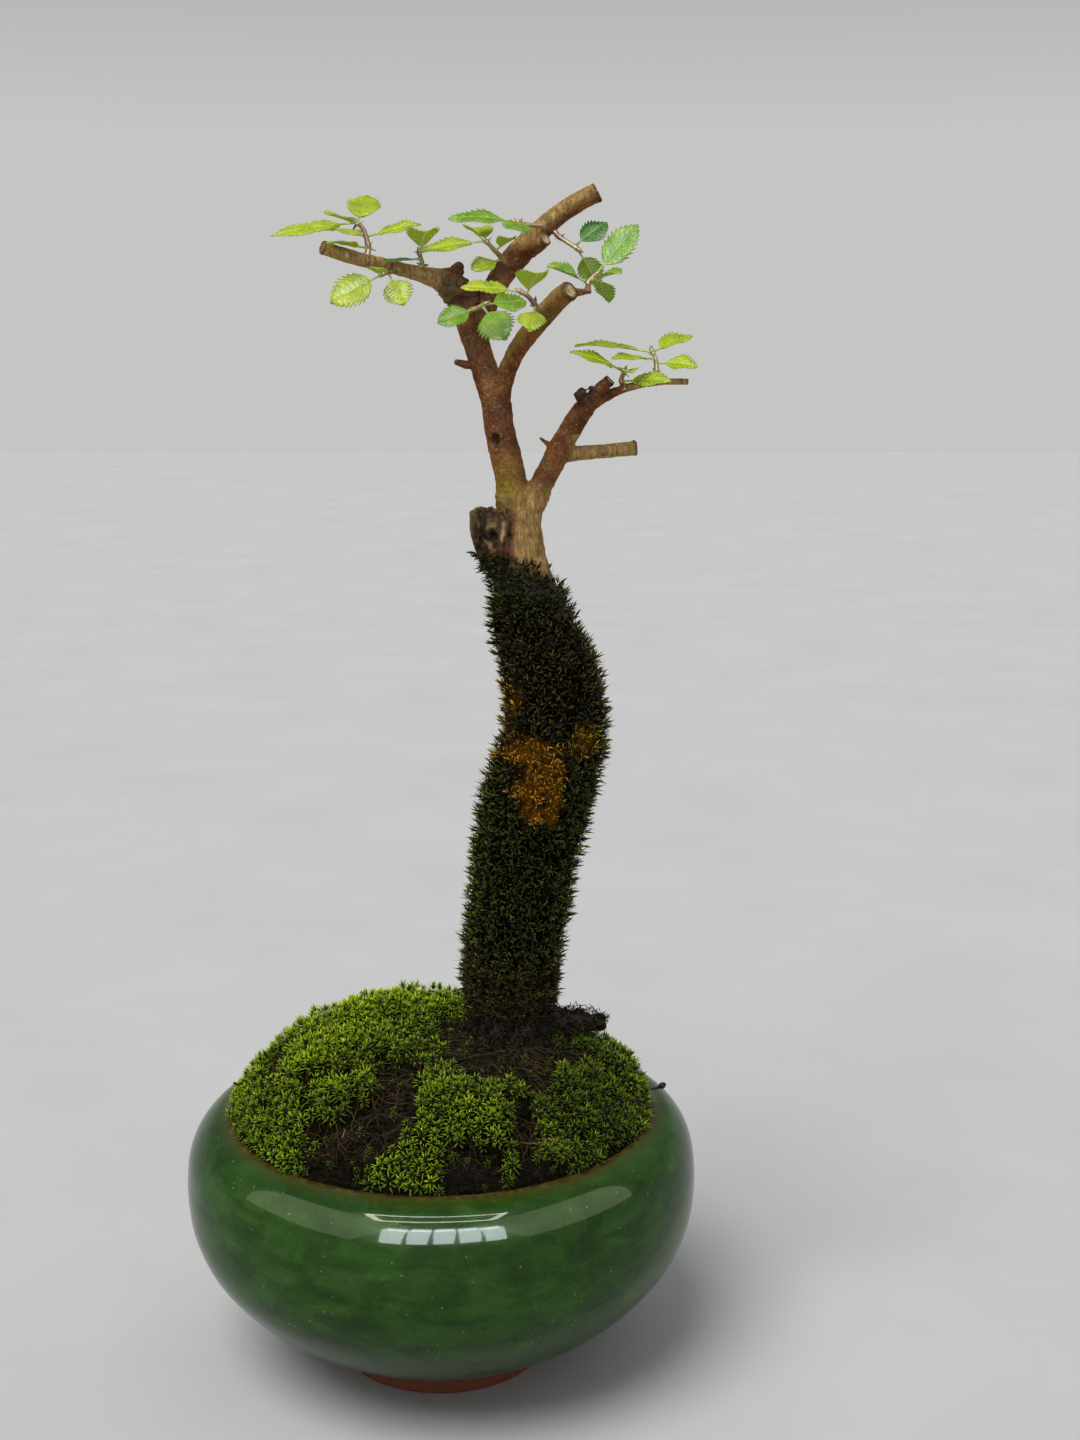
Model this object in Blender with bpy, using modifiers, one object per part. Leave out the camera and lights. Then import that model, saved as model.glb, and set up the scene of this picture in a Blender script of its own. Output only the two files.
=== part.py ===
"""A small leafing bonsai in a round glazed pot, standing on a flat surface.

Frame: origin under the middle of the pot's foot, +Z up, -Y towards the viewer, +X to the right.
Lengths are metres. Lists of branch and shoot points are in millimetres from the trunk's base,
at the soil's highest level, and are scaled by MM where they are used.
"""

import math

import bmesh
import bpy
from mathutils import Matrix, Vector

MM = 0.001

# Clearances between pieces that touch in the real object.
GAP = 0.3 * MM
SOIL_GAP = 0.4 * MM
MOSS_GAP = 0.6 * MM

# Pot: one turned piece.
POT_RADIUS = 50.0 * MM
POT_HEIGHT = 50.8 * MM
BELLY_HEIGHT = 37.0 * MM
RIM_RADIUS = 42.6 * MM
LIP_WIDTH = 2.4 * MM
LIP_DEPTH = 3.0 * MM
WALL = 3.6 * MM
FOOT_RADIUS = 20.6 * MM
FOOT_HEIGHT = 3.3 * MM
FOOT_RING_WIDTH = 4.5 * MM
FLOOR_UNDERSIDE = 3.0 * MM
FLOOR_THICKNESS = 5.0 * MM
DRAIN_RADIUS = 5.0 * MM
POT_STEPS = 40

# Drainage screen and the wire staple that holds it over the hole.
# The staple's legs stand one hole out from the middle on each side, just inside the drain.
WIRE_RADIUS = 0.5 * MM
WIRE_REACH = 11.0 * MM
WIRE_CLEARANCE = 0.5 * MM
SCREEN_CELLS = 5
SCREEN_PITCH = DRAIN_RADIUS - WIRE_RADIUS - WIRE_CLEARANCE
SCREEN_BAR = 1.4 * MM
SCREEN_HOLE = SCREEN_PITCH - SCREEN_BAR
SCREEN_BORDER = 1.0 * MM
SCREEN_THICKNESS = 1.0 * MM

# Soil: fills the pot and rises in a dome.
SOIL_EDGE_BELOW_RIM = 2.0 * MM
SOIL_RISE = 16.8 * MM
SOIL_STEPS = 36
# Low swellings of the dome: x, y, height and half width, in millimetres.
SWELLINGS = [(24.0, 3.0, 2.4, 6.0), (-17.0, 8.0, 1.4, 8.0)]

# Tree.
TREE_HEIGHT = 161.0 * MM
DRAWN_HEIGHT = 161.0
TRUNK_X = 13.4 * MM
TRUNK_Y = 0.0 * MM
TRUNK_GIRTH = 1.0
TRUNK_MOSS = 2.2 * MM
TRUNK_MOSS_FROM = 5.5 * MM
TRUNK_MOSS_TO = 88.5 * MM

# Moss cushions on the soil, between the trunk and the rim.
CUSHION_THICKNESS = 3.5 * MM
CUSHION_TRUNK_CLEARANCE = 1.2 * MM
CUSHION_RIM_CLEARANCE = 1.4 * MM

# Leaves and shoots.
LEAF_SCALE = 1.0
LEAF_THICKNESS = 0.3 * MM
PETIOLE_SHARE = 0.16
PETIOLE_WIDTH = 0.5 * MM
SHOOT_RADIUS = 0.6 * MM
SHOOT_STANDOFF = 0.4 * MM

# Trunk centreline: x, y, z and radius in millimetres, from below the soil to the old wound.
TRUNK = [
    (0.0, 0.0, -13.0, 7.0),
    (0.0, 0.0, -6.0, 8.6),
    (0.0, 0.0, 1.0, 7.9),
    (0.1, 0.0, 8.0, 7.3),
    (0.6, 0.0, 17.0, 7.2),
    (2.0, 0.0, 27.0, 7.7),
    (3.2, -0.5, 37.0, 7.9),
    (5.2, -1.0, 47.0, 8.3),
    (7.3, -1.5, 55.0, 8.2),
    (8.7, -1.5, 60.0, 7.8),
    (8.6, -1.0, 66.5, 7.6),
    (7.6, -0.5, 74.0, 7.2),
    (5.4, 0.0, 81.5, 6.5),
    (3.5, 0.0, 87.0, 5.9),
    (2.2, 0.0, 92.0, 5.3),
    (2.0, 0.0, 97.0, 4.6),
    (2.0, 0.0, 103.0, 3.8),
]

# Surface root on the right, then the roots that spread under the soil.
SURFACE_ROOT = [
    (0.0, 0.0, -1.0, 3.4),
    (6.0, 0.5, 1.5, 3.0),
    (11.0, 1.0, 2.2, 2.4),
    (15.0, 1.0, 2.4, 1.9),
    (18.5, 0.5, 2.2, 1.2),
]
ROOT_HEADINGS = [80.0, 152.0, 218.0, 292.0]
# Distance from the trunk, height and radius in millimetres.
ROOT_PROFILE = [(0.0, -5.0, 3.4), (7.0, -7.0, 2.8), (13.0, -11.0, 2.0), (18.0, -16.0, 1.2)]

# Each branch: side count of its section and its centreline.
BRANCHES = {
    "old_wound_stub": (14, [
        (1.2, -0.2, 91.5, 3.9),
        (-1.8, -1.0, 95.8, 4.2),
        (-3.2, -1.6, 100.0, 4.0),
        (-3.3, -1.8, 102.6, 3.7),
    ]),
    "leader": (12, [
        (1.9, 0.0, 98.0, 3.7),
        (1.2, 0.0, 103.5, 3.1),
        (0.4, 0.0, 109.7, 2.87),
        (-0.8, 0.0, 114.3, 2.86),
        (-1.7, 0.0, 118.8, 2.8),
        (-2.1, 0.0, 122.8, 2.76),
        (-3.6, 1.0, 126.5, 2.55),
        (-5.2, 2.0, 131.5, 2.45),
        (-6.5, 2.5, 135.5, 2.6),
        (-7.6, 3.0, 139.5, 2.6),
        (-9.0, 3.0, 142.2, 2.5),
        (-10.9, 2.5, 144.0, 2.35),
        (-13.2, 1.6, 144.9, 1.8),
        (-16.7, 0.0, 145.5, 1.36),
        (-21.9, -2.0, 146.9, 1.26),
        (-27.1, -4.0, 148.0, 1.25),
        (-30.6, -5.0, 149.0, 1.25),
        (-32.8, -6.0, 149.8, 1.16),
    ]),
    "apex": (12, [
        (-6.2, 2.5, 134.0, 2.2),
        (-4.3, 4.0, 139.0, 2.2),
        (-2.8, 5.0, 142.3, 2.1),
        (-0.4, 5.5, 146.2, 2.25),
        (2.7, 6.0, 149.8, 2.4),
        (6.0, 6.0, 153.2, 1.95),
        (9.7, 6.0, 156.3, 1.83),
        (13.3, 6.0, 158.6, 1.83),
        (16.6, 6.0, 160.2, 1.83),
    ]),
    "apex_stub": (10, [
        (2.3, 6.0, 149.1, 1.5),
        (5.1, 3.0, 150.1, 1.37),
        (7.1, 1.0, 151.6, 1.18),
    ]),
    "middle": (12, [
        (-1.8, 0.0, 120.5, 2.1),
        (-0.6, -2.0, 126.1, 1.75),
        (0.9, -4.0, 130.1, 1.72),
        (3.1, -6.0, 133.6, 1.8),
        (6.0, -7.5, 137.1, 1.87),
        (8.3, -9.0, 139.7, 1.95),
        (9.9, -10.0, 141.4, 1.85),
        (11.3, -11.5, 142.2, 1.67),
    ]),
    "middle_spur": (8, [
        (9.9, -9.4, 141.4, 0.95),
        (13.1, -8.0, 142.0, 0.75),
        (14.9, -7.0, 142.2, 0.55),
    ]),
    "right_lower": (12, [
        (2.4, 0.0, 97.5, 3.3),
        (4.1, 0.0, 102.5, 2.5),
        (5.6, 0.0, 106.3, 2.23),
        (7.5, -1.0, 109.7, 2.22),
        (9.3, -2.0, 113.5, 2.2),
        (11.5, -3.0, 117.5, 2.05),
        (13.8, -4.0, 121.1, 1.95),
        (15.8, -4.8, 122.8, 1.35),
        (18.6, -5.0, 124.0, 0.95),
        (22.5, -5.0, 125.4, 0.72),
        (27.7, -5.0, 126.2, 0.65),
        (32.9, -5.0, 126.2, 0.63),
    ]),
    "right_lower_top": (10, [
        (13.6, -4.2, 120.9, 1.6),
        (16.8, -6.0, 124.8, 1.26),
        (18.6, -7.0, 126.6, 0.99),
    ]),
    "right_stub": (12, [
        (9.3, -2.0, 112.9, 1.55),
        (13.4, -1.0, 113.2, 1.4),
        (18.0, 0.0, 113.5, 1.32),
        (23.8, 1.0, 114.0, 1.36),
    ]),
    "dead_nub_left": (8, [
        (14.2, -5.0, 121.8, 1.0),
        (13.0, -6.0, 123.2, 0.95),
        (12.6, -6.2, 124.4, 0.75),
    ]),
    "dead_nub_right": (8, [
        (14.2, -4.6, 122.0, 1.0),
        (13.9, -5.6, 123.9, 0.8),
        (13.4, -6.0, 125.2, 0.5),
    ]),
    "dead_twig": (6, [
        (13.1, -6.1, 123.6, 0.32),
        (13.7, -6.4, 125.0, 0.3),
        (15.2, -6.8, 125.4, 0.28),
        (16.6, -7.0, 124.9, 0.25),
    ]),
    "left_spur": (8, [
        (-5.0, 1.2, 129.0, 0.9),
        (-7.9, -0.4, 129.2, 0.8),
        (-9.6, -1.2, 129.8, 0.55),
    ]),
    "crotch_spur": (6, [
        (-5.8, 2.2, 134.4, 0.7),
        (-3.2, 0.6, 135.0, 0.55),
        (-2.4, 0.2, 135.5, 0.35),
    ]),
    "elbow_bud": (8, [
        (-9.6, 3.2, 143.0, 1.2),
        (-9.0, 2.8, 145.8, 0.95),
        (-8.6, 2.6, 147.0, 0.6),
    ]),
    "low_bud": (8, [
        (8.6, -1.6, 114.0, 0.7),
        (6.4, -2.0, 115.5, 0.55),
        (5.9, -2.1, 116.1, 0.35),
    ]),
}

# Each shoot: the branch it grows on, the station along it, and its points from its foot there,
# in millimetres. The first point gives the way it leaves the bark.
SHOOTS = {
    "left_tip_shoot": ("leader", 14.6, [(0.1, 0.0, 1.6), (-0.6, -0.4, 3.6), (-1.8, -0.9, 5.0)]),
    "left_under_shoot": ("leader", 13.9, [(0.0, -1.4, -0.5), (-1.2, -2.6, -1.0)]),
    "left_inner_shoot": ("leader", 12.9, [(0.0, -1.2, 1.2), (-0.1, -1.8, 2.4)]),
    "apex_low_shoot": ("apex", 3.2, [(-0.6, -1.6, 0.6), (-1.8, -3.2, 1.8), (-3.2, -4.2, 3.2)]),
    "apex_high_shoot": ("apex", 5.2, [(-0.2, -1.8, 0.0), (-2.8, -2.6, 0.1), (-5.0, -3.6, 0.6)]),
    "apex_right_shoot": ("apex", 5.4, [(1.0, -0.4, -1.0), (2.6, -1.2, -2.0), (4.0, -1.4, -2.9)]),
    "middle_shoot": ("middle", 4.6, [(-0.4, -1.2, 0.8), (-1.8, -1.8, 1.8), (-3.2, -2.0, 2.7)]),
    "fork_shoot": ("leader", 8.7, [(0.4, -1.6, 0.0), (1.4, -3.0, 0.4), (2.6, -3.6, 1.0)]),
    "spur_shoot": ("middle_spur", 1.8, [(0.5, 0.1, 0.9), (1.3, 0.1, 1.9)]),
    "right_tip_shoot": ("right_lower", 9.9, [(0.0, 0.0, 1.2), (-0.2, 0.0, 2.8), (-0.8, 0.0, 4.3)]),
    "right_inner_shoot": ("right_lower", 8.7, [(0.1, -0.4, 1.0), (0.3, -0.7, 2.0)]),
}

# Each leaf: where it sits along its shoot (0 foot, 1 tip), its heading and climb in degrees, how
# far its upper face leans to the front, its length and width in millimetres, the fold of each
# half, and its droop as a share of its length.
LEAVES = {
    "left_tip_shoot": [
        (1.00, -168, -6, 28, 14.5, 4.6, 8, 0.06),
        (1.00, 80, 34, 60, 9.0, 5.6, 10, 0.05),
        (0.90, -124, 12, 20, 8.0, 5.0, 16, 0.06),
        (0.55, -6, 14, 24, 9.0, 4.6, 12, 0.03),
        (0.30, -140, 5, -4, 8.0, 3.8, 8, 0.0),
        (0.55, 132, 12, 5, 9.5, 4.8, 10, 0.05),
    ],
    "left_under_shoot": [
        (1.00, -164, -26, 62, 9.5, 6.0, 8, 0.06),
        (0.70, -48, -50, 70, 6.2, 5.0, 6, 0.04),
        (1.00, -98, 14, 30, 4.2, 3.2, 6, 0.04),
    ],
    "left_inner_shoot": [
        (1.00, -78, 24, 0, 8.0, 5.4, 38, 0.05),
        (0.75, -146, -4, 6, 7.0, 3.8, 10, 0.02),
    ],
    "apex_low_shoot": [
        (1.00, -170, -6, 28, 11.0, 4.6, 12, 0.06),
        (0.92, 112, 22, 0, 8.0, 5.0, 32, 0.05),
        (0.30, -146, -14, 42, 5.8, 4.0, 10, 0.05),
        (0.62, -52, 20, 0, 5.0, 3.4, 34, 0.04),
    ],
    "apex_high_shoot": [
        (1.00, -176, 10, 26, 11.0, 5.4, 10, 0.16),
        (0.62, -116, -4, 42, 7.4, 5.6, 8, 0.05),
    ],
    "apex_right_shoot": [
        (0.80, 24, 34, 48, 7.2, 4.6, 8, 0.04),
        (1.00, 30, -54, -70, 7.0, 4.6, 10, 0.02),
    ],
    "middle_shoot": [
        (1.00, -174, 8, 24, 9.5, 5.2, 12, 0.07),
        (0.78, -72, 30, 0, 6.6, 5.4, 36, 0.04),
        (0.40, -100, -38, 50, 5.4, 4.8, 8, 0.05),
    ],
    "fork_shoot": [
        (0.70, -160, -18, 50, 7.0, 4.6, 10, 0.05),
        (0.90, -52, -40, 70, 7.8, 6.4, 6, 0.04),
        (1.00, 24, 6, 42, 7.4, 5.0, 8, 0.04),
    ],
    "spur_shoot": [
        (1.00, 10, 50, 56, 10.6, 5.2, 8, 0.03),
        (0.45, -168, 22, 20, 6.8, 4.6, 28, 0.04),
        (0.60, -46, 12, 20, 6.6, 4.4, 22, 0.06),
        (1.00, 62, -34, 0, 6.4, 3.6, 14, 0.10),
    ],
    "right_tip_shoot": [
        (1.00, -175, 10, 10, 13.0, 5.4, 14, 0.09),
        (0.74, -144, 2, 12, 8.8, 4.8, 14, 0.04),
        (1.00, 34, 22, 14, 8.4, 5.4, 18, 0.06),
        (0.60, -22, 0, 30, 6.6, 4.6, 16, 0.09),
    ],
    "right_inner_shoot": [
        (1.00, -158, 26, 26, 9.8, 4.2, 12, 0.15),
        (1.00, -80, 2, 0, 4.6, 3.2, 28, 0.04),
        (0.30, -24, 4, 34, 8.2, 4.4, 14, 0.05),
    ],
}

# Cushions: start and end bearing round the trunk in degrees, and the share of the way from the
# trunk to the rim where each begins.
CUSHIONS = {
    "moss_back_right": (24, 60, 0.14),
    "moss_back": (65, 97, 0.12),
    "moss_back_left": (102, 180, 0.06),
    "moss_left": (185, 229, 0.20),
    "moss_front": (240, 285, 0.45),
    "moss_front_right": (290, 330, 0.30),
    "moss_right": (335, 376, 0.52),
}
CUSHION_SQUARENESS = 3.5


# ------------------------------------------------------------------ scene and materials

def clear_scene():
    for obj in list(bpy.data.objects):
        bpy.data.objects.remove(obj, do_unlink=True)


def new_collection(name):
    collection = bpy.data.collections.new(name)
    bpy.context.scene.collection.children.link(collection)
    return collection


def new_material(name, colour, roughness):
    material = bpy.data.materials.new(name)
    material.use_nodes = True
    shader = material.node_tree.nodes["Principled BSDF"]
    shader.inputs["Base Color"].default_value = (*colour, 1.0)
    shader.inputs["Roughness"].default_value = roughness
    shader.inputs["Metallic"].default_value = 0.0
    return material


clear_scene()
PARTS = new_collection("bonsai_in_pot")
HELPERS = new_collection("cutters")
HELPERS.hide_render = True
WOOD_PIECES = new_collection("wood_pieces")
WOOD_PIECES.hide_render = True
ROOT_CUTTERS = new_collection("root_cutters")
ROOT_CUTTERS.hide_render = True

GLAZE = new_material("green_glaze", (0.030, 0.110, 0.040), 0.12)
PLASTIC = new_material("black_plastic", (0.02, 0.02, 0.02), 0.5)
WIRE = new_material("aluminium_wire", (0.28, 0.22, 0.18), 0.4)
WIRE.node_tree.nodes["Principled BSDF"].inputs["Metallic"].default_value = 1.0
SOIL = new_material("dark_soil", (0.018, 0.014, 0.010), 0.95)
MOSS = new_material("bright_moss", (0.110, 0.260, 0.015), 0.8)
TRUNK_MOSS_GREEN = new_material("dark_moss", (0.030, 0.045, 0.010), 0.9)
BARK = new_material("red_brown_bark", (0.160, 0.085, 0.050), 0.7)
LEAF = new_material("young_leaf", (0.270, 0.440, 0.015), 0.5)
STEM = new_material("red_green_stem", (0.220, 0.110, 0.050), 0.55)


def add_object(name, mesh, material, collection=PARTS):
    obj = bpy.data.objects.new(name, mesh)
    collection.objects.link(obj)
    mesh.materials.clear()
    mesh.materials.append(material)
    return obj


def as_helper(obj):
    obj.hide_render = True
    obj.display_type = "WIRE"
    return obj


def evaluated_mesh(obj):
    graph = bpy.context.evaluated_depsgraph_get()
    return bpy.data.meshes.new_from_object(obj.evaluated_get(graph))


def shade_round(mesh, angle=40.0):
    mesh.shade_smooth()
    mesh.set_sharp_from_angle(angle=math.radians(angle))


# ------------------------------------------------------------------ turned pieces

def turned(name, profile, steps, material):
    """A closed profile of (radius, height) turned about Z."""
    mesh = bpy.data.meshes.new(name)
    count = len(profile)
    points = [(radius, 0.0, height) for radius, height in profile]
    edges = [(i, (i + 1) % count) for i in range(count)]
    mesh.from_pydata(points, edges, [])
    obj = add_object(name, mesh, material)
    screw = obj.modifiers.new("Turn", "SCREW")
    screw.steps = steps
    screw.render_steps = steps
    screw.use_merge_vertices = True
    screw.merge_threshold = 0.00001
    screw.use_smooth_shade = True
    return obj


def bulge(share, power, root):
    """1 at share 0, falling to 0 at share 1 along a rounded shoulder."""
    return (1.0 - share ** power) ** (1.0 / root)


def bowl_side(low, high, low_radius, wide_radius, wide_height, high_radius):
    """The side of a bowl from its high edge down: (radius, height) points."""
    points = []
    for share in (1.0, 0.97, 0.88, 0.68, 0.4, 0.0):
        height = wide_height + (high - wide_height) * share
        radius = high_radius + (wide_radius - high_radius) * bulge(share, 2.5, 2.0)
        points.append((radius, height))
    for share in (0.28, 0.52, 0.73, 0.9, 1.0):
        height = wide_height - (wide_height - low) * share
        radius = low_radius + (wide_radius - low_radius) * bulge(share, 2.3, 1.1)
        points.append((radius, height))
    return points


FLOOR_TOP = FLOOR_UNDERSIDE + FLOOR_THICKNESS
FLOOR_RADIUS = FOOT_RADIUS - 1.0 * MM
LIP_INNER_RADIUS = RIM_RADIUS - LIP_WIDTH
LIP_UNDERSIDE = POT_HEIGHT - LIP_DEPTH
LIP_EDGE = POT_HEIGHT - 0.5 * MM


def make_pot():
    outside = bowl_side(FOOT_HEIGHT, LIP_EDGE, FOOT_RADIUS, POT_RADIUS, BELLY_HEIGHT, RIM_RADIUS)
    foot_edge = 0.4 * MM
    ring_inner = FOOT_RADIUS - FOOT_RING_WIDTH
    underside = [
        (FOOT_RADIUS, foot_edge),
        (FOOT_RADIUS - foot_edge, 0.0),
        (ring_inner + foot_edge, 0.0),
        (ring_inner, foot_edge),
        (ring_inner, FLOOR_UNDERSIDE),
        (DRAIN_RADIUS, FLOOR_UNDERSIDE),
        (DRAIN_RADIUS, FLOOR_TOP),
    ]
    inside = bowl_side(
        FLOOR_TOP, LIP_UNDERSIDE, FLOOR_RADIUS, POT_RADIUS - WALL, BELLY_HEIGHT, LIP_INNER_RADIUS
    )
    lip = [
        (LIP_INNER_RADIUS, LIP_EDGE - 0.4 * MM),
        (LIP_INNER_RADIUS + 0.35 * LIP_WIDTH, POT_HEIGHT),
        (LIP_INNER_RADIUS + 0.7 * LIP_WIDTH, POT_HEIGHT),
    ]
    pot = turned("pot", outside + underside + inside[::-1] + lip, POT_STEPS, GLAZE)
    return pot


# ------------------------------------------------------------------ drainage screen and wire

def flat_outline(name, outlines, thickness, material):
    """A flat plate from closed 2D outlines, holes among them, extruded about z = 0."""
    curve = bpy.data.curves.new(name, "CURVE")
    curve.dimensions = "2D"
    curve.fill_mode = "BOTH"
    curve.extrude = thickness / 2
    for corners in outlines:
        spline = curve.splines.new("POLY")
        spline.points.add(len(corners) - 1)
        for point, (x, y) in zip(spline.points, corners):
            point.co = (x, y, 0.0, 1.0)
        spline.use_cyclic_u = True
    helper = bpy.data.objects.new(name + "_outline", curve)
    HELPERS.objects.link(helper)
    mesh = evaluated_mesh(helper)
    bpy.data.objects.remove(helper, do_unlink=True)
    weld(mesh)
    mesh.name = name
    return add_object(name, mesh, material)


def weld(mesh):
    bm = bmesh.new()
    bm.from_mesh(mesh)
    bmesh.ops.remove_doubles(bm, verts=bm.verts, dist=0.000001)
    bm.to_mesh(mesh)
    bm.free()


def square(x, y, half):
    return [(x - half, y - half), (x + half, y - half), (x + half, y + half), (x - half, y + half)]


SCREEN_HALF = SCREEN_PITCH * SCREEN_CELLS / 2 + SCREEN_BORDER
WIRE_TOP = FLOOR_TOP + GAP + SCREEN_THICKNESS + GAP + WIRE_RADIUS


def make_screen():
    reach = SCREEN_PITCH * (SCREEN_CELLS - 1) / 2
    outlines = [square(0.0, 0.0, SCREEN_HALF)]
    for row in range(SCREEN_CELLS):
        for column in range(SCREEN_CELLS):
            x = column * SCREEN_PITCH - reach
            y = row * SCREEN_PITCH - reach
            outlines.append(square(x, y, SCREEN_HOLE / 2))
    screen = flat_outline("drainage_mesh", outlines, SCREEN_THICKNESS, PLASTIC)
    screen.location.z = FLOOR_TOP + GAP + SCREEN_THICKNESS / 2
    return screen


def make_wire():
    """A staple: over the screen, down through its holes and the drain, and out below the floor."""
    top = WIRE_TOP
    bottom = FLOOR_UNDERSIDE - GAP - WIRE_RADIUS
    leg = SCREEN_PITCH
    bend = 0.6 * MM
    right = [
        (leg - bend, top, 1.0),
        (leg, top - bend, 1.0),
        (leg, bottom + bend, 1.0),
        (leg + bend, bottom, 1.0),
        (WIRE_REACH, bottom, 1.0),
    ]
    path = [(-x, 0.0, z, r) for x, z, r in reversed(right)] + [(x, 0.0, z, r) for x, z, r in right]
    points = [(Vector((x, y, z)), r * WIRE_RADIUS) for x, y, z, r in path]
    mesh = tube_mesh("mesh_wire", points, 8)
    return add_object("mesh_wire", mesh, WIRE)


# ------------------------------------------------------------------ tubes along curves

def spline_point(points, station):
    """Catmull-Rom point on a list of (Vector, radius): place and radius at a station."""
    last = len(points) - 1
    index = min(int(station), last - 1)
    t = station - index
    four = []
    for offset in (-1, 0, 1, 2):
        at = index + offset
        if at < 0:
            four.append([2 * a - b for a, b in zip(flat(points[0]), flat(points[1]))])
        elif at > last:
            four.append([2 * a - b for a, b in zip(flat(points[last]), flat(points[last - 1]))])
        else:
            four.append(flat(points[at]))
    result = []
    for p0, p1, p2, p3 in zip(*four):
        bend = (2 * p0 - 5 * p1 + 4 * p2 - p3) * t * t + (3 * p1 - p0 - 3 * p2 + p3) * t ** 3
        result.append(0.5 * (2 * p1 + (p2 - p0) * t + bend))
    return Vector(result[:3]), result[3]


def flat(point):
    place, radius = point
    return [place.x, place.y, place.z, radius]


def smooth_path(points, spacing, start=0.0, end=None):
    """Points at about the given spacing along the smooth curve through the list."""
    end = len(points) - 1 if end is None else end
    path = []
    station = start
    while station < end - 1e-6:
        place, radius = spline_point(points, station)
        path.append((place, radius))
        ahead, _ = spline_point(points, min(station + 0.1, end))
        speed = max((ahead - place).length / 0.1, 1e-6)
        station += spacing / speed
    last = spline_point(points, end)
    if len(path) > 1 and (path[-1][0] - last[0]).length < 0.4 * spacing:
        path.pop()
    path.append(last)
    return path


def tube_mesh(name, path, sides):
    """A round bar with closed ends along (Vector, radius) points, as a welded mesh."""
    curve = bpy.data.curves.new(name, "CURVE")
    curve.dimensions = "3D"
    curve.bevel_depth = MM
    curve.bevel_resolution = sides // 2 - 2
    curve.use_fill_caps = True
    curve.twist_mode = "MINIMUM"
    spline = curve.splines.new("POLY")
    spline.points.add(len(path) - 1)
    for point, (place, radius) in zip(spline.points, path):
        point.co = (*place, 1.0)
        point.radius = radius / MM
    helper = bpy.data.objects.new(name + "_path", curve)
    HELPERS.objects.link(helper)
    mesh = evaluated_mesh(helper)
    bpy.data.objects.remove(helper, do_unlink=True)
    weld(mesh)
    mesh.name = name
    mesh.shade_smooth()
    return mesh


# ------------------------------------------------------------------ soil

SOIL_EDGE = POT_HEIGHT - SOIL_EDGE_BELOW_RIM
SOIL_RADIUS = LIP_INNER_RADIUS - GAP
SOIL_TOP = SOIL_EDGE + SOIL_RISE


def swelling(x, y):
    reach = min(math.hypot(x, y) / SOIL_RADIUS, 1.0)
    total = 0.0
    for centre_x, centre_y, height, half_width in SWELLINGS:
        away = math.hypot(x - centre_x * MM, y - centre_y * MM) / (half_width * MM)
        total += height * MM * math.exp(-away * away / 2)
    return total * (1.0 - reach ** 4)


def soil_height(x, y):
    """Height of the soil's surface above the ground at a place inside the rim."""
    reach = min(math.hypot(x, y) / SOIL_RADIUS, 1.0)
    return SOIL_EDGE + SOIL_RISE * bulge(reach, 2.5, 2.0) + swelling(x, y)


def make_soil():
    dome = []
    for share in (0.0, 0.15, 0.3, 0.45, 0.6, 0.72, 0.82, 0.9, 0.96, 0.99, 1.0):
        dome.append((SOIL_RADIUS * share, SOIL_EDGE + SOIL_RISE * bulge(share, 2.5, 2.0)))
    side = bowl_side(
        FLOOR_TOP + SOIL_GAP,
        LIP_UNDERSIDE - SOIL_GAP,
        FLOOR_RADIUS - SOIL_GAP,
        POT_RADIUS - WALL - SOIL_GAP,
        BELLY_HEIGHT,
        SOIL_RADIUS,
    )
    recess_radius = SCREEN_HALF * math.sqrt(2.0) + SOIL_GAP
    recess_top = WIRE_TOP + WIRE_RADIUS + SOIL_GAP
    recess = [
        (recess_radius, FLOOR_TOP + SOIL_GAP),
        (recess_radius, recess_top),
        (0.0, recess_top),
    ]
    profile = dome + side + recess
    mesh = bpy.data.meshes.new("soil_profile")
    points = [(radius, 0.0, height) for radius, height in profile]
    mesh.from_pydata(points, [(i, i + 1) for i in range(len(points) - 1)], [])
    turned_soil = add_object("soil_turned", mesh, SOIL, HELPERS)
    screw = turned_soil.modifiers.new("Turn", "SCREW")
    screw.steps = SOIL_STEPS
    screw.render_steps = SOIL_STEPS
    screw.use_merge_vertices = True
    screw.merge_threshold = 0.00001
    body = evaluated_mesh(turned_soil)
    bpy.data.objects.remove(turned_soil, do_unlink=True)
    weld(body)
    for vertex in body.vertices:
        if vertex.co.z > SOIL_EDGE:
            vertex.co.z += swelling(vertex.co.x, vertex.co.y)
    body.name = "soil"
    soil = add_object("soil", body, SOIL)
    shade_round(body)
    cut = soil.modifiers.new("Roots", "BOOLEAN")
    cut.operation = "DIFFERENCE"
    cut.solver = "EXACT"
    cut.operand_type = "COLLECTION"
    cut.collection = ROOT_CUTTERS
    return soil


# ------------------------------------------------------------------ wood

TRUNK_FOOT = Vector((TRUNK_X, TRUNK_Y, SOIL_TOP))
# Metres for each millimetre of the drawn tree.
TREE_SCALE = TREE_HEIGHT / DRAWN_HEIGHT


def tree_points(points, girth=1.0, extra=0.0):
    """Places and radii in metres from a list in millimetres from the trunk's base."""
    result = []
    for x, y, z, radius in points:
        result.append((TRUNK_FOOT + Vector((x, y, z)) * TREE_SCALE, radius * MM * girth + extra))
    return result


def root_points(heading):
    """A buried root, whose depth and reach don't follow the tree's height."""
    angle = math.radians(heading)
    points = []
    for reach, drop, radius in ROOT_PROFILE:
        place = Vector((math.cos(angle) * reach, math.sin(angle) * reach, drop)) * MM
        points.append((TRUNK_FOOT + place, radius * MM))
    return points


def surface_root_points():
    return [(TRUNK_FOOT + Vector((x, y, z)) * MM, r * MM) for x, y, z, r in SURFACE_ROOT]


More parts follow.
